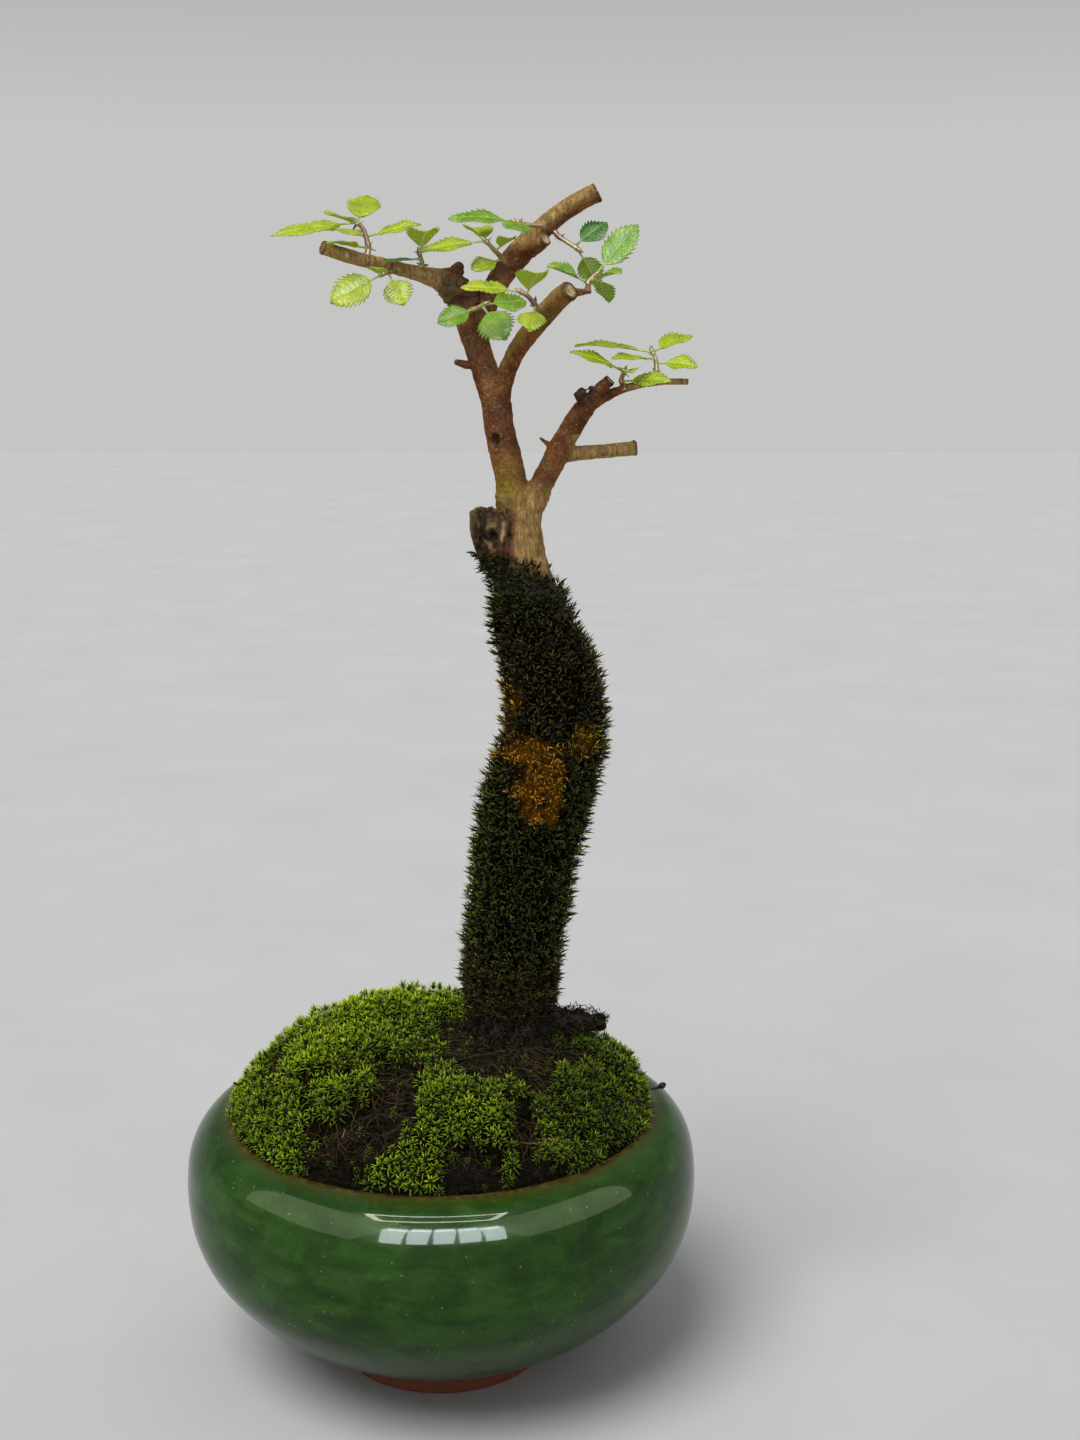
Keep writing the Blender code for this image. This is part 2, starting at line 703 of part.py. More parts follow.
def grown(path, extra):
    """The same path, thicker all round and longer at its far end."""
    thick = [(place, radius + extra) for place, radius in path]
    end, before = thick[-1][0], thick[-2][0]
    thick[-1] = (end + (end - before).normalized() * extra, thick[-1][1])
    return thick


def make_wood():
    trunk_path = smooth_path(tree_points(TRUNK, TRUNK_GIRTH), 5.0 * MM)
    wood = add_object("trunk_and_branches", tube_mesh("trunk_and_branches", trunk_path, 16), BARK)
    for name, (sides, points) in BRANCHES.items():
        path = smooth_path(tree_points(points), 3.0 * MM)
        piece = add_object(name, tube_mesh(name, path, sides), BARK, WOOD_PIECES)
        as_helper(piece)
    roots = {"surface_root": surface_root_points()}
    for number, heading in enumerate(ROOT_HEADINGS, start=1):
        roots["root_%d" % number] = root_points(heading)
    for name, points in roots.items():
        path = smooth_path(points, 3.5 * MM)
        piece = add_object(name, tube_mesh(name, path, 10), BARK, WOOD_PIECES)
        as_helper(piece)
        cutter_mesh = tube_mesh(name + "_clearance", grown(path, GAP), 10)
        cutter = add_object(name + "_clearance", cutter_mesh, SOIL, ROOT_CUTTERS)
        as_helper(cutter)
    low_trunk = [(place, radius + GAP) for place, radius in trunk_path]
    low_trunk[0] = (low_trunk[0][0] - Vector((0.0, 0.0, GAP)), low_trunk[0][1])
    clearance = tube_mesh("trunk_clearance", low_trunk, 16)
    as_helper(add_object("trunk_clearance", clearance, SOIL, ROOT_CUTTERS))
    join = wood.modifiers.new("Grow", "BOOLEAN")
    join.operation = "UNION"
    join.solver = "EXACT"
    join.operand_type = "COLLECTION"
    join.collection = WOOD_PIECES
    return wood


def trunk_station(height):
    """Station on the trunk's centreline at a height above its base."""
    points = tree_points(TRUNK, TRUNK_GIRTH)
    low, high = 0.0, float(len(points) - 1)
    for _ in range(40):
        middle = (low + high) / 2
        if spline_point(points, middle)[0].z < TRUNK_FOOT.z + height:
            low = middle
        else:
            high = middle
    return low


def make_trunk_moss():
    """A sleeve of moss round the trunk: an outer tube with the trunk's clearance cut out."""
    points = tree_points(TRUNK, TRUNK_GIRTH)
    stretch = TREE_SCALE / MM
    start = trunk_station(TRUNK_MOSS_FROM)
    end = trunk_station(TRUNK_MOSS_TO * stretch)
    middle = smooth_path(points, 5.0 * MM, start, end)
    outer = []
    for number, (place, radius) in enumerate(middle):
        at_end = number in (0, len(middle) - 1)
        outer.append((place, radius + GAP + (0.6 if at_end else 1.0) * TRUNK_MOSS))
    bore = [(place, radius + GAP) for place, radius in middle]
    first, second = bore[0][0], bore[1][0]
    last, before = bore[-1][0], bore[-2][0]
    bore[0] = (first - (second - first).normalized() * 2 * MM, bore[0][1])
    bore[-1] = (last + (last - before).normalized() * 2 * MM, bore[-1][1])
    sleeve = add_object("trunk_moss", tube_mesh("trunk_moss", outer, 16), TRUNK_MOSS_GREEN)
    cutter = add_object("trunk_moss_bore", tube_mesh("trunk_moss_bore", bore, 16), BARK, HELPERS)
    as_helper(cutter)
    cut = sleeve.modifiers.new("Bore", "BOOLEAN")
    cut.operation = "DIFFERENCE"
    cut.solver = "EXACT"
    cut.object = cutter
    return sleeve


# ------------------------------------------------------------------ moss cushions

def cushion_range(bearing):
    """Nearest and furthest reach from the trunk that a cushion may take on a bearing."""
    base_radius = max(radius for _, _, z, radius in TRUNK if -8.0 < z < 10.0) * MM * TRUNK_GIRTH
    near = base_radius + GAP + TRUNK_MOSS + CUSHION_TRUNK_CLEARANCE
    along = Vector((math.cos(bearing), math.sin(bearing)))
    foot = Vector((TRUNK_X, TRUNK_Y))
    rim = SOIL_RADIUS - CUSHION_RIM_CLEARANCE
    inward = foot.dot(along)
    far = -inward + math.sqrt(inward * inward + rim * rim - foot.length_squared)
    return near, far


def make_cushion(name, first, last, inner_share):
    bm = bmesh.new()
    bmesh.ops.create_uvsphere(bm, u_segments=20, v_segments=8, radius=1.0)
    for vertex in bm.verts:
        a, b, c = vertex.co
        angle = math.atan2(b, a)
        power = CUSHION_SQUARENESS
        stretch = (abs(math.cos(angle)) ** power + abs(math.sin(angle)) ** power) ** (-1.0 / power)
        share = (1.0 + inner_share) / 2 + (1.0 - inner_share) / 2 * a * stretch
        bearing = math.radians((first + last) / 2 + (last - first) / 2 * b * stretch)
        near, far = cushion_range(bearing)
        reach = near + (far - near) * share
        x = TRUNK_X + math.cos(bearing) * reach
        y = TRUNK_Y + math.sin(bearing) * reach
        swell = CUSHION_THICKNESS * max(c, 0.0) ** 0.7
        vertex.co = (x, y, soil_height(x, y) + MOSS_GAP + swell)
    mesh = bpy.data.meshes.new(name)
    bm.to_mesh(mesh)
    bm.free()
    shade_round(mesh, 60.0)
    return add_object(name, mesh, MOSS)


# ------------------------------------------------------------------ shoots and leaves

def shoot_path(branch, station, steps):
    """The shoot's points, from just off the bark of its branch."""
    _, points = BRANCHES[branch]
    wood = tree_points(points)
    centre, radius = spline_point(wood, station)
    ahead, _ = spline_point(wood, min(station + 0.05, len(wood) - 1))
    behind, _ = spline_point(wood, max(station - 0.05, 0.0))
    axis = (ahead - behind).normalized()
    leave = Vector(steps[0])
    leave = (leave - axis * leave.dot(axis)).normalized()
    foot = centre + leave * (radius + SHOOT_STANDOFF)
    path = [(foot, SHOOT_RADIUS), (foot + leave * 0.7 * MM, SHOOT_RADIUS)]
    for number, step in enumerate(steps[1:], start=2):
        slimmer = 1.0 - 0.2 * number / len(steps)
        path.append((foot + Vector(step) * MM, SHOOT_RADIUS * slimmer))
    return path


def blade_half_width(share, length, width):
    """Half the leaf's width at a share of its length, petiole first."""
    if share <= PETIOLE_SHARE:
        return PETIOLE_WIDTH / 2
    along = (share - PETIOLE_SHARE) / (1.0 - PETIOLE_SHARE)
    return max(width / 2 * math.sin(math.pi * along ** 0.82) ** 0.8, 0.2 * MM)


def make_leaf(name, shoot, values):
    at, heading, climb, lean, length, width, fold, droop = values
    length *= MM * LEAF_SCALE
    width *= MM * LEAF_SCALE
    shares = (0.0, 0.12, 0.22, 0.36, 0.52, 0.68, 0.84, 1.0)
    bm = bmesh.new()
    bmesh.ops.create_grid(bm, x_segments=len(shares) - 1, y_segments=2, size=1.0)
    lift = math.tan(math.radians(fold))
    for vertex in bm.verts:
        row = round((vertex.co.x + 1.0) / 2 * (len(shares) - 1))
        share = shares[row]
        across = vertex.co.y * blade_half_width(share, length, width)
        hang = droop * length * share * share
        vertex.co = (share * length, across, abs(across) * lift - hang)
    mesh = bpy.data.meshes.new(name)
    bm.to_mesh(mesh)
    bm.free()
    leaf = add_object(name, mesh, LEAF)
    heading, climb, lean = (math.radians(angle) for angle in (heading, climb, lean))
    way = Vector((
        math.cos(climb) * math.cos(heading),
        math.cos(climb) * math.sin(heading),
        math.sin(climb),
    ))
    up = Vector((0.0, -math.sin(lean), math.cos(lean)))
    up = (up - way * up.dot(way)).normalized()
    side = up.cross(way)
    station = at * (len(shoot) - 1)
    place, radius = spline_point(shoot, station)
    foot = place + way * (radius + SHOOT_STANDOFF + 0.1 * MM)
    turn = Matrix((way, side, up)).transposed().to_4x4()
    leaf.matrix_world = Matrix.Translation(foot) @ turn
    thick = leaf.modifiers.new("Blade", "SOLIDIFY")
    thick.thickness = LEAF_THICKNESS
    thick.offset = 0.0
    return leaf


def make_shoots_and_leaves():
    for name, (branch, station, steps) in SHOOTS.items():
        path = shoot_path(branch, station, steps)
        add_object(name, tube_mesh(name, path, 8), STEM)
        for number, values in enumerate(LEAVES[name], start=1):
            make_leaf("%s_leaf_%d" % (name, number), path, values)


make_pot()
make_screen()
make_wire()
make_wood()
make_soil()
make_trunk_moss()
for cushion_name, (bearing_from, bearing_to, start_share) in CUSHIONS.items():
    make_cushion(cushion_name, bearing_from, bearing_to, start_share)
make_shoots_and_leaves()
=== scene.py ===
"""A small leafing bonsai in a round green glazed pot, in soft studio light.

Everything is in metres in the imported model's frame: origin under the middle of the pot's foot,
+Z up, -Y towards the viewer. Sizes written as a number times MM are millimetres.
"""

import itertools
import math

import bmesh
import bpy
import numpy as np
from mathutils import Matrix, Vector, noise
from mathutils.bvhtree import BVHTree


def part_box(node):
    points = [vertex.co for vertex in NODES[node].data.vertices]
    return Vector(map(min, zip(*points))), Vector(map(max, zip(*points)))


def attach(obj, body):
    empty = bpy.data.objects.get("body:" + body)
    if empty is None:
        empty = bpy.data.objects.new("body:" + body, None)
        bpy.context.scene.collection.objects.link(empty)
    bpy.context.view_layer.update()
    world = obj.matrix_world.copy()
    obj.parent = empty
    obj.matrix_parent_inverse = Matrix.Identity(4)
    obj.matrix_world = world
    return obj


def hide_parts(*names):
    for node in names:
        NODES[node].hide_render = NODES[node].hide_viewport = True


MM = 0.001
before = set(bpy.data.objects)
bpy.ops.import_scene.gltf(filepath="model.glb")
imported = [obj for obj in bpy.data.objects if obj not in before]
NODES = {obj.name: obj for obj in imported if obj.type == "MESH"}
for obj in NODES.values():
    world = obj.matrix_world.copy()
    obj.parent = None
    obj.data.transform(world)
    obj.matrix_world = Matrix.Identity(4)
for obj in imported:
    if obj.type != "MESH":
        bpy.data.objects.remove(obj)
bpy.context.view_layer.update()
CHANCE = np.random.default_rng(17)


# ------------------------------------------------------------------ small helpers

def srgb(red, green, blue):
    """A colour given as 0 to 255 display values, as linear RGBA."""
    linear = []
    for value in (red, green, blue):
        share = value / 255.0
        linear.append(share / 12.92 if share <= 0.04045 else ((share + 0.055) / 1.055) ** 2.4)
    return (*linear, 1.0)


def ease(low, high, value):
    """0 at low and 1 at high, with a smooth rise (or fall, if low is the larger) between them."""
    share = np.clip((value - low) / (high - low), 0.0, 1.0)
    return share * share * (3.0 - 2.0 * share)


def wander(points, size, seed=0.0):
    """Smooth noise from about -1 to 1 at each point, with lumps of the given size."""
    shift = Vector((seed * 7.31, seed * 3.77, seed * 5.13))
    scaled = np.asarray(points, float) / size
    return np.array([noise.noise(Vector(point) + shift) for point in scaled])


def rough(points, size, seed=0.0, octaves=4):
    """Noise with finer and finer detail, from about -1 to 1."""
    total = np.zeros(len(points))
    for octave in range(octaves):
        total += wander(points, size / 2 ** octave, seed + octave) * 0.55 ** octave
    return total


def unit(vectors):
    lengths = np.linalg.norm(vectors, axis=-1, keepdims=True)
    return vectors / np.maximum(lengths, 1e-12)


def object_from(name, points, triangles, quads=None):
    """A mesh object from arrays of points, triangles and quads."""
    triangles = np.asarray(triangles, np.int32).reshape(-1, 3)
    quads = np.zeros((0, 4), np.int32) if quads is None else np.asarray(quads, np.int32)
    corners = np.concatenate([triangles.ravel(), quads.ravel()])
    quad_start = 3 * len(triangles)
    starts = np.concatenate(
        [np.arange(len(triangles)) * 3, quad_start + np.arange(len(quads)) * 4]
    ).astype(np.int32)
    mesh = bpy.data.meshes.new(name)
    mesh.vertices.add(len(points))
    mesh.vertices.foreach_set("co", np.asarray(points, np.float32).ravel())
    mesh.loops.add(len(corners))
    mesh.loops.foreach_set("vertex_index", corners)
    mesh.polygons.add(len(starts))
    mesh.polygons.foreach_set("loop_start", starts)
    mesh.update(calc_edges=True)
    mesh.validate()
    mesh.shade_smooth()
    obj = bpy.data.objects.new(name, mesh)
    bpy.context.scene.collection.objects.link(obj)
    return obj


def points_of(mesh):
    points = np.zeros(3 * len(mesh.vertices), np.float32)
    mesh.vertices.foreach_get("co", points)
    return points.reshape(-1, 3).astype(float)


def move_points(mesh, points):
    mesh.vertices.foreach_set("co", np.asarray(points, np.float32).ravel())
    mesh.update()


def normals_of(mesh):
    normals = np.zeros(3 * len(mesh.vertices), np.float32)
    mesh.vertex_normals.foreach_get("vector", normals)
    return normals.reshape(-1, 3).astype(float)


def paint(mesh, name, values):
    """Stores one number for each vertex, for a material to read."""
    layer = mesh.attributes.new(name, "FLOAT", "POINT")
    layer.data.foreach_set("value", np.asarray(values, np.float32))


def lay_uv(mesh, coordinates, name="OFBake"):
    """A UV map from one (u, v) for each vertex."""
    layer = mesh.uv_layers.new(name=name)
    corner_points = np.zeros(len(mesh.loops), np.int32)
    mesh.loops.foreach_get("vertex_index", corner_points)
    layer.data.foreach_set("uv", np.asarray(coordinates, np.float32)[corner_points].ravel())


def welded_copy(node):
    """A CAD node's mesh as a bmesh with its doubled points joined."""
    bm = bmesh.new()
    bm.from_mesh(NODES[node].data)
    bmesh.ops.remove_doubles(bm, verts=bm.verts, dist=0.002 * MM)
    return bm


def remeshed(name, node, voxel, smoothing):
    """A new object with a CAD node's shape in a fine even mesh."""
    bm = welded_copy(node)
    mesh = bpy.data.meshes.new(name)
    bm.to_mesh(mesh)
    bm.free()
    obj = bpy.data.objects.new(name, mesh)
    bpy.context.scene.collection.objects.link(obj)
    even = obj.modifiers.new("Even", "REMESH")
    even.mode = "VOXEL"
    even.voxel_size = voxel
    soften = obj.modifiers.new("Soften", "SMOOTH")
    soften.iterations = smoothing
    soften.factor = 0.5
    graph = bpy.context.evaluated_depsgraph_get()
    fine = bpy.data.meshes.new_from_object(obj.evaluated_get(graph))
    obj.modifiers.clear()
    obj.data = fine
    fine.materials.clear()
    fine.shade_smooth()
    return obj


def finished(obj, material, slot, *nodes):
    """Gives a piece its material, hangs it under the root body and hides the CAD nodes it stands for;
    slot is not used.
    """
    obj.data.materials.clear()
    obj.data.materials.append(material)
    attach(obj, "root")
    if nodes:
        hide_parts(*nodes)
    return obj


# ------------------------------------------------------------------ materials

# A leaf's side veins on each side, and how far each runs forward on its way to the edge.
VEIN_COUNT = 9.0
VEIN_SLANT = 0.17


class Look:
    """One procedural material, built up node by node."""

    def __init__(self, name):
        self.material = bpy.data.materials.new(name)
        self.material.use_nodes = True
        self.nodes = self.material.node_tree.nodes
        self.links = self.material.node_tree.links
        self.shader = self.nodes["Principled BSDF"]
        self.place = self.nodes.new("ShaderNodeTexCoord").outputs["Object"]

    def put(self, value, socket):
        if isinstance(value, bpy.types.NodeSocket):
            self.links.new(value, socket)
        else:
            socket.default_value = value

    def set(self, **values):
        for name, value in values.items():
            self.put(value, self.shader.inputs[name.replace("_", " ")])

    def scaled_place(self, size, stretch):
        mapping = self.nodes.new("ShaderNodeMapping")
        mapping.inputs["Scale"].default_value = [value / size for value in stretch]
        self.put(self.place, mapping.inputs["Vector"])
        return mapping.outputs["Vector"]

    def noise(self, size, detail=4.0, roughness=0.6, stretch=(1.0, 1.0, 1.0), warp=0.0):
        texture = self.nodes.new("ShaderNodeTexNoise")
        texture.inputs["Scale"].default_value = 1.0
        texture.inputs["Detail"].default_value = detail
        texture.inputs["Roughness"].default_value = roughness
        texture.inputs["Distortion"].default_value = warp
        self.put(self.scaled_place(size, stretch), texture.inputs["Vector"])
        return texture.outputs["Fac"]

    def cells(self, size, stretch=(1.0, 1.0, 1.0)):
        texture = self.nodes.new("ShaderNodeTexVoronoi")
        texture.inputs["Scale"].default_value = 1.0
        self.put(self.scaled_place(size, stretch), texture.inputs["Vector"])
        return texture.outputs["Distance"]

    def painted(self, name):
        attribute = self.nodes.new("ShaderNodeAttribute")
        attribute.attribute_name = name
        return attribute.outputs["Fac"]

    def uv(self, name):
        uv_map = self.nodes.new("ShaderNodeUVMap")
        uv_map.uv_map = name
        split = self.nodes.new("ShaderNodeSeparateXYZ")
        self.put(uv_map.outputs["UV"], split.inputs["Vector"])
        return split.outputs["X"], split.outputs["Y"]

    def axis(self, letter):
        split = self.nodes.new("ShaderNodeSeparateXYZ")
        self.put(self.place, split.inputs["Vector"])
        return split.outputs[letter]

    def radius(self):
        """Distance from the pot's axis."""
        flat = self.nodes.new("ShaderNodeVectorMath")
        flat.operation = "MULTIPLY"
        flat.inputs[1].default_value = (1.0, 1.0, 0.0)
        self.put(self.place, flat.inputs[0])
        length = self.nodes.new("ShaderNodeVectorMath")
        length.operation = "LENGTH"
        self.put(flat.outputs["Vector"], length.inputs[0])
        return length.outputs["Value"]

    def ramp(self, share, *stops):
        """Colours by share; each stop is (share, linear colour) or (share, red, green, blue)."""
        ramp = self.nodes.new("ShaderNodeValToRGB")
        elements = ramp.color_ramp.elements
        stops = [(stop[0], srgb(*stop[1:]) if len(stop) == 4 else stop[1]) for stop in stops]
        elements[0].position, elements[0].color = stops[0]
        elements[1].position, elements[1].color = stops[-1]
        for position, colour in stops[1:-1]:
            elements.new(position).color = colour
        self.put(share, ramp.inputs["Fac"])
        return ramp.outputs["Color"]

    def window(self, value, low, high, start=0.0, end=1.0):
        """The value from low to high, spread from start to end and held there outside."""
        spread = self.nodes.new("ShaderNodeMapRange")
        spread.interpolation_type = "SMOOTHSTEP"
        for socket, number in zip(spread.inputs[1:5], (low, high, start, end)):
            socket.default_value = number
        self.put(value, spread.inputs["Value"])
        return spread.outputs["Result"]

    def mix(self, share, first, second, blend="MIX"):
        mix = self.nodes.new("ShaderNodeMix")
        mix.data_type = "RGBA"
        mix.blend_type = blend
        self.put(share, mix.inputs[0])
        self.put(first, mix.inputs[6])
        self.put(second, mix.inputs[7])
        return mix.outputs[2]

    def combine(self, first, second, operation):
        node = self.nodes.new("ShaderNodeMath")
        node.operation = operation
        self.put(first, node.inputs[0])
        self.put(second, node.inputs[1])
        return node.outputs[0]

    def plus(self, first, second):
        return self.combine(first, second, "ADD")

    def times(self, first, second):
        return self.combine(first, second, "MULTIPLY")

    def bump(self, height, depth, strength=1.0):
        bump = self.nodes.new("ShaderNodeBump")
        bump.inputs["Strength"].default_value = strength
        bump.inputs["Distance"].default_value = depth
        self.put(height, bump.inputs["Height"])
        self.put(bump.outputs["Normal"], self.shader.inputs["Normal"])


def glaze_look():
    look = Look("green_glaze")
    height = look.axis("Z")
    cloudy = look.noise(9 * MM, 5.0, 0.55, (1.0, 1.0, 2.2), 0.6)
    body = look.ramp(
        cloudy,
        (0.30, 28, 56, 13),
        (0.48, 38, 71, 19),
        (0.62, 48, 84, 28),
        (0.78, 62, 97, 40),
    )
    # Painted shade: the glaze is darkened towards the foot.
    painted_low_shade = look.window(height, 5 * MM, 33 * MM, 0.9, 0.0)
    body = look.mix(painted_low_shade, body, srgb(12, 27, 6))
    mottle = look.noise(0.9 * MM, 4.0, 0.65)
    body = look.mix(look.window(mottle, 0.56, 0.72, 0.0, 0.35), body, srgb(72, 100, 50))
    specks = look.cells(2.3 * MM)
    body = look.mix(look.window(specks, 0.09, 0.03, 0.0, 0.7), body, srgb(150, 172, 132))
    body = look.mix(look.window(mottle, 0.40, 0.30, 0.0, 0.5), body, srgb(10, 26, 12))
    ragged = look.plus(look.radius(), look.times(look.noise(4 * MM), 1.4 * MM))
    lip_ends = RIM_RADIUS + 0.7 * MM
    olive = look.window(ragged, lip_ends + 2.4 * MM, lip_ends, 0.0, 0.7)
    olive = look.times(olive, look.window(height, BELLY_HEIGHT, POT_HEIGHT))
    body = look.mix(olive, body, srgb(62, 70, 22))
    thin = look.window(ragged, lip_ends - 0.1 * MM, lip_ends - 0.8 * MM)
    thin = look.times(thin, look.window(height, POT_HEIGHT - 3 * MM, POT_HEIGHT - 2 * MM))
    body = look.mix(thin, body, look.ramp(
        look.noise(1.6 * MM), (0.35, 54, 44, 16), (0.65, 90, 78, 34)))
    clay_grain = look.noise(0.5 * MM, 5.0, 0.7)
    clay = look.ramp(clay_grain, (0.3, 108, 58, 44), (0.7, 150, 90, 70))
    edge = look.plus(height, look.times(look.noise(2.5 * MM), 0.9 * MM))
    bare = look.window(edge, 4.1 * MM, 3.75 * MM)
    line = look.times(look.window(edge, 3.7 * MM, 4.0 * MM), look.window(edge, 4.5 * MM, 4.15 * MM))
    colour = look.mix(bare, body, clay)
    colour = look.mix(look.times(line, 0.8), colour, srgb(168, 132, 92))
    look.set(
        Base_Color=colour,
        Roughness=look.window(bare, 0.0, 1.0, 0.22, 0.85),
        Specular_IOR_Level=0.04,
        Coat_Weight=look.window(bare, 0.0, 1.0, 0.34, 0.0),
        Coat_Roughness=0.04,
        Coat_IOR=1.42,
    )
    wavy = look.plus(look.noise(4 * MM, 2.0), look.times(clay_grain, bare))
    look.bump(wavy, 0.12 * MM, 0.35)
    return look.material


def soil_look():
    look = Look("dark_soil")
    grain = look.noise(1.1 * MM, 6.0, 0.7)
    lumps = look.noise(4.5 * MM, 3.0, 0.6)
    colour = look.ramp(
        grain,
        (0.30, 7, 5, 2),
        (0.50, 22, 17, 9),
        (0.64, 42, 34, 19),
        (0.80, 90, 76, 46),
    )
    colour = look.mix(look.window(lumps, 0.55, 0.70, 0.0, 0.45), colour, srgb(36, 38, 18))
    roughness = look.window(grain, 0.3, 0.7, 0.95, 0.72)
    look.set(Base_Color=colour, Roughness=roughness, Specular_IOR_Level=0.02)
    look.bump(look.plus(grain, look.noise(0.35 * MM, 3.0)), 0.5 * MM, 0.9)
    return look.material


def blade_look(name, dry, *stops):
    """Blades coloured by the stops from base to tip, dull to bright across u, and dry at its end."""
    look = Look(name)
    shade, along = look.uv("OFBake")
    colour = look.ramp(along, *stops)
    brighter = look.ramp(
        shade,
        (0.0, (0.20, 0.20, 0.20, 1.0)),
        (0.45, (0.72, 0.72, 0.72, 1.0)),
        (0.72, (1.25, 1.22, 1.0, 1.0)),
        (0.90, (1.7, 1.55, 1.2, 1.0)),
    )
    colour = look.mix(1.0, colour, brighter, "MULTIPLY")
    colour = look.mix(look.window(shade, 0.955, 0.965), colour, dry)
    roughness = look.window(along, 0.0, 1.0, 0.8, 0.55)
    look.set(Base_Color=colour, Roughness=roughness, Specular_IOR_Level=0.07)
    look.set(Subsurface_Weight=0.12, Subsurface_Radius=(0.4, 0.8, 0.1), Subsurface_Scale=0.5 * MM)
    return look.material


def mat_look(name, dark, light):
    """Matted growth, with no shine of its own."""
    look = Look(name)
    grain = look.noise(0.9 * MM, 5.0, 0.7)
    colour = look.ramp(grain, (0.35, dark), (0.70, light))
    look.set(Base_Color=colour, Roughness=1.0, Specular_IOR_Level=0.0)
    look.bump(grain, 0.6 * MM, 1.0)
    return look.material


def bark_look():
    """Bark, with the colours of the masks painted on the wood laid over it in turn."""
    look = Look("red_brown_bark")
    fine = look.noise(0.55 * MM, 5.0, 0.7)
    broad = look.noise(5 * MM, 3.0, 0.6)
    grain = look.noise(0.5 * MM, 4.0, 0.65, (1.0, 1.0, 0.16), 0.4)
    colour = look.ramp(
        look.plus(look.times(fine, 0.5), look.times(broad, 0.5)),
        (0.36, 54, 27, 12),
        (0.48, 104, 59, 28),
        (0.58, 138, 91, 47),
        (0.70, 170, 128, 76),
    )
    lenticels = look.cells(1.5 * MM, stretch=(1.0, 1.0, 1.9))
    colour = look.mix(look.window(lenticels, 0.2, 0.1, 0.0, 0.55), colour, srgb(178, 148, 112))
    for mask, share, *stops in (
        ("tan", grain, (0.35, 124, 91, 46), (0.55, 178, 146, 84), (0.72, 214, 187, 126)),
        ("green", fine, (0.35, 104, 86, 12), (0.65, 158, 134, 34)),
        ("cut", grain, (0.35, 150, 118, 78), (0.65, 222, 200, 160)),
        ("lichen", fine, (0.35, 62, 62, 34), (0.65, 112, 112, 70)),
        ("dark", fine, (0.35, 12, 7, 3), (0.70, 42, 26, 13)),
    ):
        colour = look.mix(look.painted(mask), colour, look.ramp(share, *stops))
    roughness = look.window(fine, 0.3, 0.7, 0.78, 0.52)
    look.set(Base_Color=colour, Roughness=roughness, Specular_IOR_Level=0.05)
    look.bump(look.plus(grain, fine), 0.16 * MM, 0.8)
    return look.material


def stem_look():
    look = Look("young_stem")
    fine = look.noise(0.5 * MM, 4.0, 0.6)
    broad = look.noise(3.5 * MM, 2.0, 0.5)
    colour = look.ramp(
        broad,
        (0.36, 112, 62, 40),
        (0.50, 150, 104, 58),
        (0.64, 142, 148, 62),
    )
    colour = look.mix(look.window(fine, 0.5, 0.7, 0.0, 0.5), colour, srgb(186, 170, 120))
    look.set(Base_Color=colour, Roughness=0.5)
    look.bump(fine, 0.05 * MM, 0.6)
    return look.material


def leaf_look(name, low, middle, high, under, warmth):
    """Leaf colour by UV: u runs along the blade, v across its top (above 0.5) or its underside.

    The first three colours are the top's, from dark to light; warmth browns its edge.
    """
    look = Look(name)
    along, across = look.uv("blade")
    top_side = look.window(across, 0.49, 0.51)
    half = look.times(look.combine(look.combine(across, 0.5, "MODULO"), 0.25, "SUBTRACT"), 4.0)
    outward = look.combine(half, 0.0, "ABSOLUTE")
    slant = look.combine(along, look.times(outward, VEIN_SLANT), "SUBTRACT")
    combed = look.combine(look.times(slant, VEIN_COUNT), 1.0, "MODULO")
    vein = look.combine(look.combine(combed, 0.5, "SUBTRACT"), 0.0, "ABSOLUTE")
    side_vein = look.window(vein, 0.40, 0.50)
    mid_vein = look.window(outward, 0.10, 0.03)
    veins = look.combine(side_vein, mid_vein, "MAXIMUM")
    blotch = look.noise(2.2 * MM, 4.0, 0.6)
    top = look.ramp(blotch, (0.32, low), (0.50, middle), (0.70, high))
    top = look.mix(look.times(veins, 0.45), top, high)
    top = look.mix(look.window(outward, 0.80, 1.0, 0.0, warmth), top, srgb(150, 120, 40))
    below = look.mix(look.times(veins, 0.5), under, srgb(206, 212, 140))
    colour = look.mix(top_side, below, top)
    roughness = look.window(blotch, 0.3, 0.7, 0.48, 0.34)
    look.set(Base_Color=colour, Roughness=roughness, Specular_IOR_Level=0.2)
    fine = look.noise(0.35 * MM, 3.0, 0.6)
    look.bump(look.plus(look.times(veins, -0.8), fine), 0.06 * MM, 0.7)
    look.set(Subsurface_Weight=0.25, Subsurface_Radius=(0.5, 0.9, 0.08), Subsurface_Scale=0.8 * MM)
    return look.material


def plastic_look():
    look = Look("black_plastic_screen")
    fine = look.noise(0.3 * MM, 3.0)
    colour = look.ramp(fine, (0.3, 16, 16, 16), (0.7, 40, 40, 38))
    look.set(Base_Color=colour, Roughness=look.window(fine, 0.3, 0.7, 0.45, 0.65))
    look.bump(fine, 0.03 * MM, 0.5)
    return look.material


def wire_look():
    look = Look("annealed_wire")
    drawn = look.noise(0.25 * MM, 3.0)
    colour = look.ramp(drawn, (0.3, 96, 76, 62), (0.7, 150, 126, 106))
    look.set(Base_Color=colour, Roughness=look.window(drawn, 0.3, 0.7, 0.3, 0.5), Metallic=1.0)
    look.bump(drawn, 0.01 * MM, 0.5)
    return look.material


def floor_look():
    look = Look("pale_floor")
    cloud = look.noise(60 * MM, 3.0)
    pale = srgb(216, 215, 213)
    darker = (*(value * 0.94 for value in pale[:3]), 1.0)
    colour = look.ramp(cloud, (0.3, darker), (0.7, pale))
    look.set(Base_Color=colour, Roughness=0.9, Specular_IOR_Level=0.0)
    return look.material


